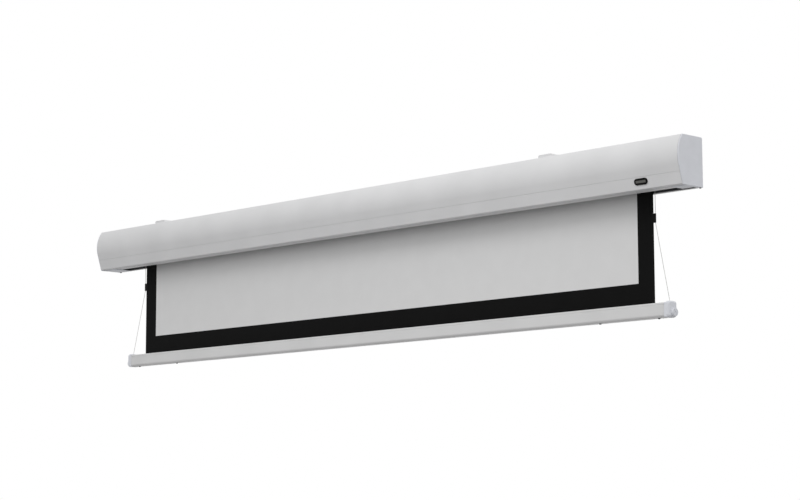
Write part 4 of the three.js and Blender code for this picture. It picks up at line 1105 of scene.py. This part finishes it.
    def caps(self) -> None:
        """Make both end caps, and the gland in the left one."""
        place(self.cap(Side.RIGHT), "right_cap", [CAP_ABS], ("right_end_cap",), Body.CASE)
        gland = Gland()
        left = mirrored(self.cap(Side.LEFT))
        hole = moved(rod(gland.radius + SEAT_GAP, 8.0), (-self.case_end - 2, gland.y, gland.height),
                     (0, QUARTER, 0))
        place(carved(left, hole), "left_cap", [CAP_ABS], ("left_end_cap",), Body.CASE)
        bm = moved(gland.mesh(), (-self.case_end, gland.y, gland.height), (0, -QUARTER, 0))
        place(bm, "gland", [BLACK_ABS], ("cable_gland",), Body.CASE)

    def badge(self) -> None:
        """Make the badge and lay it on the sloping panel."""
        badge = Badge()
        spot = (self.case_end - self.badge_from_end, *self.front.at(badge.height))
        tilt = (self.front.angle(badge.height) - QUARTER, 0, 0)
        surround, plate = (moved(bm, spot, tilt) for bm in badge.meshes())
        place(surround, "badge_frame", [BLACK_ABS], ("badge_surround",), Body.CASE)
        place(plate, "badge_insert", [BADGE_METAL], ("badge_plate",), Body.CASE)

    def screw(self, side: Side) -> None:
        """Make the screw under an end cap.

        Args:
            side: The end of the case.
        """
        spot = (side.value * self.screw_x, self.screw_y, -self.tongue)
        bm = moved(PanScrew(head_height=self.screw_head).mesh(), spot)
        name = f"{side.word}_cap_pan_screw"
        place(bm, name, [DARK_STEEL], (f"{side.word}_cap_screw",), Body.CASE)

    def build(self) -> None:
        """Make every piece of the case."""
        self.housing()
        self.panel()
        self.caps()
        self.badge()
        for side in Side:
            self.screw(side)


@dataclass(frozen=True)
class Sheet:
    """The projection sheet: white in three black borders, with a black back."""

    picture_end: float = 1168.5
    picture_low: float = -264.0
    hem: float = -334.9
    columns: int = 48
    rows: int = 40

    def build(self) -> None:
        """Make the hanging part of the sheet, which hangs flat between the case and the weight bar."""
        bm = bmesh.new()
        bmesh.ops.create_grid(bm, x_segments=self.columns, y_segments=self.rows, size=0.5)
        tall = ROLLER_HEIGHT - self.hem
        bmesh.ops.scale(bm, verts=bm.verts[:], vec=(2 * SHEET_END, tall, 1))
        moved(bm, (0, SHEET_Y - SHEET_THICKNESS / 2, ROLLER_HEIGHT - tall / 2), (QUARTER, 0, 0))
        cuts = ((-self.picture_end, X_AXIS), (self.picture_end, X_AXIS), (self.picture_low, Z_AXIS))
        for where, normal in cuts:
            geom = bm.verts[:] + bm.edges[:] + bm.faces[:]
            spot = tuple(where * n for n in normal)
            bmesh.ops.bisect_plane(bm, geom=geom, dist=1e-3, plane_co=spot, plane_no=normal)
        for face in bm.faces:
            centre = face.calc_center_median()
            outside = abs(centre.x) > self.picture_end or centre.z < self.picture_low
            face.material_index = 1 if outside else 0
        bmesh.ops.solidify(bm, geom=bm.faces[:], thickness=SHEET_THICKNESS)
        middle = sum(v.co.y for v in bm.verts) / len(bm.verts)
        bmesh.ops.translate(bm, verts=bm.verts[:], vec=(0, SHEET_Y - middle, 0))
        bmesh.ops.recalc_face_normals(bm, faces=bm.faces[:])
        for face in bm.faces:
            if face.normal.y > LOOKS_ALONG:
                face.material_index = 2
            elif abs(face.normal.y) < LOOKS_ALONG:
                face.material_index = 1
        sheet = place(bm, "hanging_sheet", [WHITE_VINYL, BLACK_VINYL, BACK_VINYL],
                      ("picture_surface", "left_border", "right_border", "bottom_border"))
        hang(sheet)


def hang(piece: bpy.types.Object) -> None:
    """Bake the place of a piece that hangs between the case and the weight bar, from the roller's height to
    the bar's top, into its mesh; nothing bends it.

    Args:
        piece: The finished piece.
    """
    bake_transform(piece)


@dataclass(frozen=True)
class SideCord:
    """A tension cord with the tab that holds it to the sheet's edge."""

    x: float = 1237.0
    radius: float = 0.8
    tab_top: float = -60.0
    tab_height: float = 28.0
    tab_thickness: float = 3.0
    tab_overlap: float = 8.0
    tab_bead: float = 2.3
    tab_corner: float = 2.0
    cap_x: float = 1292.5
    cap_y: float = -19.0
    cap_top: float = -326.5
    end: float = -355.7
    sides: int = 12
    step: float = 8.0

    def route(self) -> list[Vector]:
        """Give the points that the cord passes, from the roller to its anchor in the weight bar's cap.

        Returns:
            The points of the right cord.
        """
        tab_low = self.tab_top - self.tab_height
        knots = [Vector((self.x, SHEET_Y, ROLLER_HEIGHT)), Vector((self.x, SHEET_Y, tab_low)),
                 Vector((self.cap_x, self.cap_y, self.cap_top)), Vector((self.cap_x, self.cap_y, self.end))]
        points = [knots[0]]
        for a, b in zip(knots, knots[1:]):
            count = max(round((b - a).length / self.step), 2)
            points += [a.lerp(b, (i + 1) / count) for i in range(count)]
        return points

    def cord(self, side: Side) -> None:
        """Make one cord as a tube with a map along it for its braid.

        Args:
            side: The end of the screen.
        """
        bm = bmesh.new()
        run = bm.loops.layers.uv.new("run")
        bmesh.ops.create_circle(bm, cap_ends=False, radius=self.radius, segments=self.sides)
        points = self.route()
        bmesh.ops.translate(bm, verts=bm.verts[:], vec=points[0])
        ring = bm.edges[:]
        places = {v: (i / self.sides, 0.0) for i, v in enumerate(bm.verts)}
        length = 0.0
        for before, after in zip(points, points[1:]):
            length += (after - before).length * MM
            made = bmesh.ops.extrude_edge_only(bm, edges=ring)["geom"]
            ring = [g for g in made if isinstance(g, bmesh.types.BMEdge)]
            fresh = [g for g in made if isinstance(g, bmesh.types.BMVert)]
            below = {tuple(round(c, 4) for c in v.co): u for v, (u, _) in places.items() if v not in fresh}
            for v in fresh:
                places[v] = (below[tuple(round(c, 4) for c in v.co)], length)
            bmesh.ops.translate(bm, verts=fresh, vec=after - before)
        for face in bm.faces:
            turns = [places[loop.vert][0] for loop in face.loops]
            for loop, turn in zip(face.loops, turns):
                wrap = 1.0 if max(turns) - turn > 0.5 else 0.0
                loop[run].uv = (turn + wrap, places[loop.vert][1])
        bmesh.ops.holes_fill(bm, edges=[e for e in bm.edges if e.is_boundary], sides=0)
        bmesh.ops.recalc_face_normals(bm, faces=bm.faces[:])
        if side is Side.LEFT:
            mirrored(bm)
        nodes = (f"{side.word}_upper_cord", f"{side.word}_lower_cord")
        hang(place(bm, f"{side.word}_tension_cord", [CORD_BRAID], nodes, sharp=60.0))

    def tab(self, side: Side) -> None:
        """Make one tab: a clip over the sheet's edge with a round bead, through which the cord runs.

        Args:
            side: The end of the screen.
        """
        half = self.tab_thickness / 2
        top, low = self.tab_top, self.tab_top - self.tab_height
        inner, outer = SHEET_END - self.tab_overlap, self.x + self.tab_bead
        plate = box((inner, SHEET_Y - half, low), (outer, SHEET_Y + half, top))
        ends = (low, top)
        round_edges(plate, lambda p: near(p.x, outer) and any(near(p.z, z) for z in ends), self.tab_corner,
                    SMALL_STEPS)
        bead = rod(self.tab_bead, self.tab_height - 2 * self.tab_corner)
        whole = carved(plate, moved(bead, (self.x, SHEET_Y, low + self.tab_corner)), Carve.ADD)
        gap = SHEET_THICKNESS / 2 + SEAT_GAP
        slit = box((inner - OVERRUN, SHEET_Y - gap, low - OVERRUN),
                   (SHEET_END + SEAT_GAP, SHEET_Y + gap, top + OVERRUN))
        bore = rod(self.radius + SEAT_GAP, self.tab_height + 2 * OVERRUN, 24)
        whole = carved(carved(whole, slit), moved(bore, (self.x, SHEET_Y, low - OVERRUN)))
        if side is Side.LEFT:
            mirrored(whole)
        place(whole, f"{side.word}_edge_tab", [BLACK_ABS], (f"{side.word}_tab",), Body.TABS)

    def build(self) -> None:
        """Make both cords and both tabs."""
        for side in Side:
            self.cord(side)
            self.tab(side)


@dataclass(frozen=True)
class WeightBar:
    """The weight bar with its caps, its tension knobs and the screws under it."""

    end: float = 1283.5
    height: float = 44.0
    depth: float = 35.0
    y: float = -19.0
    wall: float = 1.8
    top_radius: float = 3.0
    low_radius: float = 9.0
    back_radius: float = 5.0
    line_drop: float = 6.0
    line: float = 0.9
    slot_y: float = 9.8
    mouth: float = 3.0
    chamber: float = 4.0
    chamber_drop: float = 8.0
    web_drop: float = 17.0
    cap_width: float = 22.5
    cap_proud: float = 1.0
    cap_rise: float = 4.0
    cap_drop: float = 0.5
    cap_radius: float = 8.5
    cap_rim: float = 8.0
    cap_step: float = 1.0
    cap_gap: float = 0.9
    collar: float = 8.0
    collar_rise: float = 0.5
    collar_radius: float = 3.0
    collar_edge: float = 0.4
    plug: float = 15.0
    plug_radius: float = 4.0
    cord_x: float = 1292.5
    cord_hole: float = 2.2
    knob_height: float = -360.0
    knob_radius: float = 12.3
    knob_thickness: float = 7.5
    knob_rim: float = 1.5
    knob_slot: tuple[float, float] = (1.3, 1.2)
    knob_turn: float = -50.0
    shank: float = 4.0
    shank_length: float = 24.0
    screws: tuple[float, ...] = (-1252.0, -1026.0, 1026.0, 1252.0)

    @property
    def low(self) -> float:
        """The height of the bar's underside."""
        return BAR_TOP - self.height

    def extrusion(self) -> None:
        """Make the bar's profile: a channel for the hem in its top and two hollows below."""
        front, back = self.y - self.depth / 2, self.y + self.depth / 2
        upper, lower, rear = self.top_radius, self.low_radius, self.back_radius
        slot, half = self.y + self.slot_y, self.mouth / 2
        groove = BAR_TOP - self.line_drop
        section = Section().start(slot - half, BAR_TOP).line((front + upper, BAR_TOP))
        section.arc((front + upper, BAR_TOP - upper), QUARTER, 6)
        line = self.line
        section.line((front, groove), (front + line, groove - line), (front, groove - 2 * line))
        section.line((front, self.low + lower)).arc((front + lower, self.low + lower), QUARTER, 12)
        section.line((back - rear, self.low)).arc((back - rear, self.low + rear), QUARTER, CORNER_STEPS)
        section.line((back, BAR_TOP - upper)).arc((back - upper, BAR_TOP - upper), QUARTER, 6)
        chamber = (slot, BAR_TOP - self.chamber_drop)
        spread = math.acos(half / self.chamber)
        section.line((slot + half, BAR_TOP), (slot + half, chamber[1] + self.chamber * math.sin(spread)))
        section.arc(chamber, -(math.pi + 2 * spread), 20).close()
        web = BAR_TOP - self.web_drop
        section.start(back - self.wall, web)
        section.line((front + self.wall, web), (front + self.wall, self.low + lower))
        section.arc((front + lower, self.low + lower), QUARTER, 10).line((back - rear, self.low + self.wall))
        section.arc((back - rear, self.low + rear), QUARTER, 6).close()
        side, face = slot - self.chamber - self.wall, front + self.wall + self.line
        roof, ledge = BAR_TOP - self.wall - self.line, web + self.wall
        section.start(face, roof).line((side, roof), (side, ledge), (face, ledge)).close()
        bm = section.sweep(-self.end, self.end, holes=True)
        place(bm, "bar_profile", [BAR_COAT], ("weight_bar",), Body.BAR)

    def cap(self, side: Side) -> None:
        """Make one cap: a rounded block with the cord's hole in its top and a bore for the knob.

        Args:
            side: The end of the bar.
        """
        front, back = self.y - self.depth / 2, self.y + self.depth / 2
        low, high = self.low - self.cap_drop, BAR_TOP + self.cap_rise
        joint, step, outer = self.end + self.cap_gap, self.end + self.collar, self.end + self.cap_width
        block = Section().rounded((front - self.cap_proud, low), (back + self.cap_proud, high),
                                  self.cap_radius, 10).sweep(step, outer)
        round_edges(block, lambda p: near(p.x, outer), self.cap_rim, 10)
        round_edges(block, lambda p: near(p.x, step), self.cap_step, 3)
        rise = self.collar_rise
        collar = Section().rounded((front - rise, low), (back + rise, BAR_TOP + rise), self.collar_radius,
                                   CORNER_STEPS).sweep(joint, step + 2 * OVERRUN)
        round_edges(collar, lambda p: near(p.x, joint), self.collar_edge, 2)
        inset = self.wall + SEAT_GAP
        plug = Section().rounded((front + inset, self.low + inset),
                                 (back - inset, BAR_TOP - self.web_drop - SEAT_GAP), self.plug_radius,
                                 SMALL_STEPS).sweep(self.end - self.plug, self.end + 2 * OVERRUN)
        whole = carved(carved(block, collar, Carve.ADD), plug, Carve.ADD)
        inner = self.end - self.plug - OVERRUN
        bore = moved(rod(self.shank + SEAT_GAP, 40.0), (inner, self.y, self.knob_height), (0, QUARTER, 0))
        hole = moved(rod(self.cord_hole, high - self.knob_height + OVERRUN, 24),
                     (self.cord_x, self.y, self.knob_height))
        whole = carved(carved(whole, bore), hole)
        if side is Side.LEFT:
            mirrored(whole)
        place(whole, f"{side.word}_bar_end", [CAP_ABS], (f"{side.word}_bar_cap",), Body.BAR)

    def knob(self, side: Side) -> None:
        """Make one knob: a disc with a round rim and a slot across it for a coin.

        Args:
            side: The end of the bar.
        """
        radius, top, rim = self.knob_radius, self.knob_thickness, self.knob_rim
        dome = [(radius - rim + rim * math.sin(a), top - rim + rim * math.cos(a))
                for a in (QUARTER * i / 4 for i in range(5))]
        shank = [(0, -self.shank_length), (self.shank - 0.3, -self.shank_length),
                 (self.shank, 0.5 - self.shank_length), (self.shank, 0)]
        bm = turned([*shank, (radius - 0.4, 0), (radius, 0.4), *reversed(dome), (0, top)], 96)
        wide, deep = self.knob_slot
        slot = box((-wide, -radius - OVERRUN, top - deep), (wide, radius + OVERRUN, top + OVERRUN))
        bm = moved(carved(bm, slot), turn=(0, QUARTER, 0))
        spot = (self.end + self.cap_width + SEAT_GAP, self.y, self.knob_height)
        moved(bm, spot, (math.radians(self.knob_turn), 0, 0))
        if side is Side.LEFT:
            mirrored(bm)
        place(bm, f"{side.word}_knob_disc", [CAP_ABS], (f"{side.word}_tension_knob",),
              f"{side.word}_knob")

    def build(self) -> None:
        """Make the bar and everything on it."""
        self.extrusion()
        for side in Side:
            self.cap(side)
            self.knob(side)
        for number, x in enumerate(self.screws, 1):
            screw = moved(PanScrew().mesh(), (x, self.y, self.low))
            name = f"bar_pan_screw_{number}"
            place(screw, name, [DARK_STEEL], (f"bar_screw_{number}",), Body.BAR)


@dataclass(frozen=True)
class Hanger:
    """A hanging bracket: a painted steel channel over the case, with a leg down the back."""

    side: Side
    x: float
    width: float = 56.0
    steel: float = 3.0
    rise: float = 9.0
    front: float = -88.0
    chamfer: float = 4.0
    leg: float = 62.0
    bend: float = 0.6
    slot_half: tuple[float, float] = (3.5, 8.0)
    slot_x: float = 17.0
    slot_y: float = 24.0
    leg_slot_drop: float = 32.0
    clamp_head: float = 6.8
    clamp_shank: float = 4.0
    clamp_length: float = 15.0
    socket: float = 2.9
    socket_depth: float = 2.4

    @property
    def top(self) -> float:
        """The height of the bracket's top."""
        return CASE_HEIGHT + self.rise

    def shell(self, inset: float) -> Section:
        """Draw the channel's outline as seen from the front, with X as the drawing's Y.

        Args:
            inset: The distance inside the surface.

        Returns:
            The outline.
        """
        half, top = self.width / 2 - inset, self.rise - SEAT_GAP - inset
        section = Section().start(half, 0).line((half, top - self.chamfer), (half - self.chamfer, top))
        return section.line((self.chamfer - half, top), (-half, top - self.chamfer), (-half, 0)).close()

    def channel(self) -> bmesh.types.BMesh:
        """Make the bracket without its screw.

        Returns:
            The mesh, at the middle of the case's length.
        """
        base = CASE_HEIGHT + SEAT_GAP
        half, inner = self.width / 2, self.width / 2 - self.steel
        across = Matrix(((0, -1, 0), (1, 0, 0), (0, 0, 1)))
        block = self.shell(0.0).sweep(self.front, 0.0)
        hollow = self.shell(self.steel).sweep(self.front + self.steel, 10 * OVERRUN)
        for bm in (block, hollow):
            bmesh.ops.rotate(bm, verts=bm.verts[:], cent=(0, 0, 0), matrix=across)
            bmesh.ops.translate(bm, verts=bm.verts[:], vec=(0, 0, base))
        mouth = box((-inner, self.front + self.steel, base - 5 * OVERRUN), (inner, 10 * OVERRUN, base + 0.4))
        leg = box((-half, -self.steel, self.top - self.leg), (half, 0, self.top - self.chamfer))
        return carved(carved(carved(block, hollow), mouth), leg, Carve.ADD)

    def slot(self, half: tuple[float, float], spot: tuple[float, float, float],
             turn: tuple[float, float, float]) -> bmesh.types.BMesh:
        """Make the cutter of one slot.

        Args:
            half: Its half sizes across the sweep.
            spot: Its middle.
            turn: Its turns about X, Y and Z.

        Returns:
            The cutter.
        """
        wide, long = half
        reach = 2 * self.steel
        outline = Section().rounded((-wide, -long), (wide, long), self.slot_half[0], CORNER_STEPS)
        return moved(outline.sweep(-reach, reach), spot, turn)

    def cutters(self) -> list[bmesh.types.BMesh]:
        """Make the cutters of the six screw slots and of the clamp screw's seat.

        Returns:
            The cutters.
        """
        wide, long = self.slot_half
        cutters = []
        for x in (-self.slot_x, self.slot_x):
            cutters.append(self.slot((wide, long), (x, 0, self.top - self.leg_slot_drop), (0, 0, QUARTER)))
            for y in (RAIL_Y - self.slot_y, RAIL_Y + self.slot_y):
                cutters.append(self.slot((long, wide), (x, y, self.top), (0, QUARTER, 0)))
        hole = self.clamp_shank + SEAT_GAP
        depth = self.clamp_head - self.clamp_shank + SLACK
        sink = turned([(0, -depth), (hole, -depth), (self.clamp_head + 0.4, SLACK), (0, SLACK)])
        shank = moved(rod(hole, 20.0), (0, RAIL_Y, self.top - self.clamp_length))
        return [*cutters, moved(sink, (0, RAIL_Y, self.top)), shank]

    def screw(self) -> bmesh.types.BMesh:
        """Make the countersunk clamp screw with its six-sided socket, its top at the origin.

        Returns:
            The screw's mesh.
        """
        head, shank, low = self.clamp_head, self.clamp_shank, -self.clamp_length
        cone = [(shank, shank - head), (head, -0.15), (head - 0.2, 0), (0, 0)]
        screw = turned([(0, low), (shank - 0.1, low), (shank, low + 0.5), *cone], 48)
        return carved(screw, moved(rod(self.socket, 4.0, 6), (0, 0, -self.socket_depth)))

    def build(self) -> None:
        """Make the bracket and its clamp screw."""
        whole = self.channel()
        for cutter in self.cutters():
            whole = carved(whole, cutter)
        flat = math.radians(0.5)
        bmesh.ops.dissolve_limit(whole, angle_limit=flat, verts=whole.verts[:], edges=whole.edges[:])
        moved(whole, (self.x, 0, 0))
        word, body = self.side.word, f"{self.side.word}_hanger"
        nodes = (f"{word}_hanging_bracket",)
        piece = place(whole, f"{word}_bracket_shell", [STEEL_COAT], nodes, body)
        soft = piece.modifiers.new("bent_edges", "BEVEL")
        soft.width = self.bend * MM
        soft.segments = 2
        soft.limit_method = "ANGLE"
        piece.modifiers.move(1, 0)
        screw = moved(self.screw(), (self.x, RAIL_Y, self.top))
        place(screw, f"{word}_clamp_bolt", [ZINC], (f"{word}_clamp_screw",), body)


@dataclass(frozen=True)
class Roller:
    """What is wound on the roller: the sheet's turns and the two cords' turns."""

    y: float = -48.64
    core: float = 35.3
    outer: float = 38.89
    facets: int = 60
    skin_share: float = 0.94
    cord_x: float = 1241.0
    cord_outer: float = 38.34
    cord_radius: float = 0.8
    cord_width: float = 12.0
    cord_pitch: float = 1.68
    cord_turns: int = 6
    cord_facets: int = 40

    def wound_sheet(self) -> None:
        """Make the sheet's turns as one spiral that ends where the sheet leaves the roller."""
        turns = (self.outer - self.core) / SHEET_THICKNESS
        steps = round(turns * self.facets)
        skin = SHEET_THICKNESS * self.skin_share
        step_turn = Matrix.Rotation(-FULL_TURN / self.facets, 3, "X")
        bm = bmesh.new()
        tip = bmesh.ops.create_vert(bm, co=(0, self.outer, 0))["vert"][0]
        strip = bmesh.ops.extrude_vert_indiv(bm, verts=[tip])
        strip["verts"][0].co = (0, self.outer - skin, 0)
        edge = strip["edges"][0]
        for _ in range(steps):
            made = bmesh.ops.extrude_edge_only(bm, edges=[edge])["geom"]
            edge = next(g for g in made if isinstance(g, bmesh.types.BMEdge))
            ends = list(edge.verts)
            bmesh.ops.rotate(bm, verts=ends, cent=(0, 0, 0), matrix=step_turn)
            for v in ends:
                v.co -= v.co.normalized() * (self.outer - self.core - skin) / steps
        bmesh.ops.translate(bm, verts=bm.verts[:], vec=(-SHEET_END, 0, 0))
        made = bmesh.ops.extrude_face_region(bm, geom=bm.faces[:], use_keep_orig=True)["geom"]
        far = [g for g in made if isinstance(g, bmesh.types.BMVert)]
        bmesh.ops.translate(bm, verts=far, vec=(2 * SHEET_END, 0, 0))
        bmesh.ops.recalc_face_normals(bm, faces=bm.faces[:])
        for face in bm.faces:
            inward = face.normal.dot(face.calc_center_median()) < 0 and abs(face.normal.x) < LOOKS_ALONG
            face.material_index = 1 if inward else 0
        moved(bm, (0, self.y, ROLLER_HEIGHT))
        looks = [BACK_VINYL, WHITE_VINYL]
        roll = place(bm, "wound_sheet", looks, ("fabric_roll",), Body.ROLLER)

    def wound_cord(self, side: Side) -> None:
        """Make the outer layer of a cord's turns as one helix, over a plain core.

        Args:
            side: The end of the roller.
        """
        start = -self.cord_pitch * self.cord_turns / 2
        bm = bmesh.new()
        bmesh.ops.create_circle(bm, cap_ends=True, radius=self.cord_radius, segments=8)
        bmesh.ops.rotate(bm, verts=bm.verts[:], cent=(0, 0, 0), matrix=Matrix.Rotation(QUARTER, 3, "X"))
        bmesh.ops.translate(bm, verts=bm.verts[:], vec=(start, 0, self.cord_outer - self.cord_radius))
        bmesh.ops.rotate(bm, verts=bm.verts[:], cent=(0, 0, 0), matrix=Matrix.Rotation(-QUARTER, 3, "X"))
        bmesh.ops.spin(bm, geom=bm.verts[:] + bm.edges[:] + bm.faces[:], cent=(0, 0, 0), axis=X_AXIS,
                       dvec=(self.cord_pitch / self.cord_facets, 0, 0), angle=FULL_TURN * self.cord_turns,
                       steps=self.cord_facets * self.cord_turns, use_merge=False, use_normal_flip=False,
                       use_duplicate=False)
        bmesh.ops.recalc_face_normals(bm, faces=bm.faces[:])
        half = self.cord_width / 2
        top = self.cord_outer - 2 * self.cord_radius - 0.05
        core = turned([(self.core, -half), (top, -half), (top, half), (self.core, half), (self.core, -half)])
        whole = merged(bm, moved(core, turn=(0, QUARTER, 0)))
        moved(whole, (side.value * self.cord_x, self.y, ROLLER_HEIGHT))
        name, nodes = f"{side.word}_wound_cord", (f"{side.word}_cord_winding",)
        place(whole, name, [WOUND_CORD], nodes, Body.ROLLER, sharp=50.0)

    def build(self) -> None:
        """Make everything that is wound on the roller."""
        self.wound_sheet()
        for side in Side:
            self.wound_cord(side)


@dataclass(frozen=True)
class Mechanism:
    """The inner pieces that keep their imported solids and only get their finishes."""

    finishes: dict[str, Finish] = field(default_factory=lambda: {
        "roller_tube": ALUMINIUM, "motor_tube": ALUMINIUM, "fabric_anchor_rod": STEEL, "drive_shaft": STEEL,
        "idler_pin": STEEL, "idler_bearing": STEEL, "left_anchor_strip": STEEL, "right_anchor_strip": STEEL,
        "left_rail_nut": ZINC, "right_rail_nut": ZINC, "motor_bracket": ZINC, "idler_bracket": ZINC,
        "motor_head": BLACK_ABS, "receiver_box": BLACK_ABS, "receiver_lid": BLACK_ABS, "motor_crown": NYLON,
        "drive_wheel": NYLON, "idler_plug": NYLON, "hem_rod": NYLON,
    })

    def dress(self, nodes: dict[str, bpy.types.Object]) -> None:
        """Give each inner piece its finish.

        Args:
            nodes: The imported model's nodes by name.
        """
        for name, finish in self.finishes.items():
            data = nodes[name].data
            data.materials.clear()
            data.materials.append(finish.material())
            log.info("%s: %s", name, finish.name)


# Studio


@dataclass(frozen=True)
class Viewpoint:
    """The camera, in metres and degrees in the model's frame."""

    position: tuple[float, float, float] = (5.117896, -4.834784, -1.050915)
    yaw: float = 45.8251
    pitch: float = 7.5111
    roll: float = -0.156
    lens: float = 94.411
    sensor: float = 36.0
    reach: float = 60.0

    def build(self) -> None:
        """Set up the scene's camera."""
        data = bpy.data.cameras.new("viewpoint")
        data.lens = self.lens
        data.sensor_width = self.sensor
        data.sensor_fit = "HORIZONTAL"
        data.clip_end = self.reach
        camera = bpy.data.objects.new("viewpoint", data)
        bpy.context.scene.collection.objects.link(camera)
        yaw = Matrix.Rotation(math.radians(self.yaw), 4, "Z")
        pitch = Matrix.Rotation(QUARTER + math.radians(self.pitch), 4, "X")
        roll = Matrix.Rotation(math.radians(self.roll), 4, "Z")
        camera.matrix_world = Matrix.Translation(self.position) @ yaw @ pitch @ roll
        bpy.context.scene.camera = camera


@dataclass(frozen=True)
class Studio:
    """A white studio: soft light from all round, brighter from above, over a pale floor."""

    above: float = 1.0
    below: float = 0.35
    horizon: tuple[float, float] = (-0.1, 0.25)
    overhead_from: float = 0.3
    overhead: float = 0.58
    floor_height: float = -5.0
    floor_size: float = 40.0
    floor_colour: str = "FBFBFB"
    floor_bounce: str = "A6A6A6"
    lamp: tuple[float, float, float] = (1.0, -1.9, 1.6)
    lamp_size: tuple[float, float] = (1.8, 1.0)
    lamp_power: float = 12.0
    lamp_aim: float = -0.1
    floor_roughness: float = 0.9

    def seen(self, tree: bpy.types.NodeTree) -> bpy.types.NodeSocket:
        """Say whether a ray comes from the camera, a reflection or glass.

        Args:
            tree: The tree that gets the nodes.

        Returns:
            1 for such a ray, and otherwise 0.
        """
        path = node(tree, "LightPath").outputs
        rays = {0: path["Is Camera Ray"], 1: path["Is Glossy Ray"]}
        first = node(tree, "Math", rays, operation="MAXIMUM")
        last = {0: first.outputs[0], 1: path["Is Transmission Ray"]}
        return node(tree, "Math", last, operation="MAXIMUM").outputs[0]

    def world(self) -> None:
        """Make the world: white to the eye, and a soft two-tone light on the object."""
        world = bpy.data.worlds.new("studio")
        world.use_nodes = True
        bpy.context.scene.world = world
        tree = world.node_tree
        tree.nodes.clear()
        up = node(tree, "SeparateXYZ", {"Vector": node(tree, "TexCoord").outputs["Generated"]}).outputs[2]
        low, high = self.horizon
        links = {"Value": up, "From Min": low, "From Max": high, "To Min": self.below, "To Max": self.above}
        level = node(tree, "MapRange", links, interpolation_type="SMOOTHSTEP").outputs[0]
        links = {"Value": up, "From Min": self.overhead_from, "From Max": 1.0, "To Min": 1.0,
                 "To Max": self.overhead}
        dimming = node(tree, "MapRange", links, interpolation_type="SMOOTHSTEP").outputs[0]
        level = node(tree, "Math", {0: level, 1: dimming}, operation="MULTIPLY").outputs[0]
        light = node(tree, "Background", {"Color": (1, 1, 1, 1), "Strength": level})
        white = node(tree, "Background", {"Color": (1, 1, 1, 1), "Strength": 1.0})
        mix = node(tree, "MixShader", {0: self.seen(tree), 1: light.outputs[0], 2: white.outputs[0]})
        node(tree, "OutputWorld", {"Surface": mix.outputs[0]})

    def floor(self) -> None:
        """Lay the pale floor, which throws back less light than it shows."""
        bm = bmesh.new()
        bmesh.ops.create_grid(bm, x_segments=1, y_segments=1, size=self.floor_size / 2)
        bmesh.ops.translate(bm, verts=bm.verts[:], vec=(0, 0, self.floor_height))
        data = bpy.data.meshes.new("studio_floor")
        bm.to_mesh(data)
        bm.free()
        paint = bpy.data.materials.new("floor_paint")
        paint.use_nodes = True
        tree = paint.node_tree
        mix = node(tree, "Mix", {"Factor": self.seen(tree), "A": linear(self.floor_bounce),
                                 "B": linear(self.floor_colour)}, data_type="RGBA")
        shader = tree.nodes["Principled BSDF"]
        shader.inputs["Roughness"].default_value = self.floor_roughness
        tree.links.new(mix.outputs[2], shader.inputs["Base Color"])
        data.materials.append(paint)
        floor = bpy.data.objects.new("studio_floor", data)
        bpy.context.scene.collection.objects.link(floor)

    def softbox(self) -> None:
        """Hang one wide soft lamp in front of the screen and above it, a little to the right."""
        light = bpy.data.lights.new("softbox", "AREA")
        light.shape = "RECTANGLE"
        light.size, light.size_y = self.lamp_size
        light.energy = self.lamp_power
        lamp = bpy.data.objects.new("softbox", light)
        lamp.location = self.lamp
        aim = Vector((self.lamp[0], 0, self.lamp_aim)) - lamp.location
        lamp.rotation_euler = aim.to_track_quat("-Z", "Y").to_euler()
        bpy.context.scene.collection.objects.link(lamp)

    def build(self) -> None:
        """Make the world, the floor and the lamp."""
        bpy.context.scene.view_settings.view_transform = "Standard"
        self.world()
        self.floor()
        self.softbox()


def main() -> None:
    """Build the screen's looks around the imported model."""
    logging.basicConfig(level=logging.INFO, format="%(name)s: %(message)s")
    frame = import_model()
    Viewpoint().build()
    Studio().build()
    Case().build()
    Sheet().build()
    SideCord().build()
    WeightBar().build()
    Hanger(Side.LEFT, -1050.0).build()
    Hanger(Side.RIGHT, 872.0).build()
    Roller().build()
    Mechanism().dress(frame["nodes"])


if __name__ == "__main__":
    main()
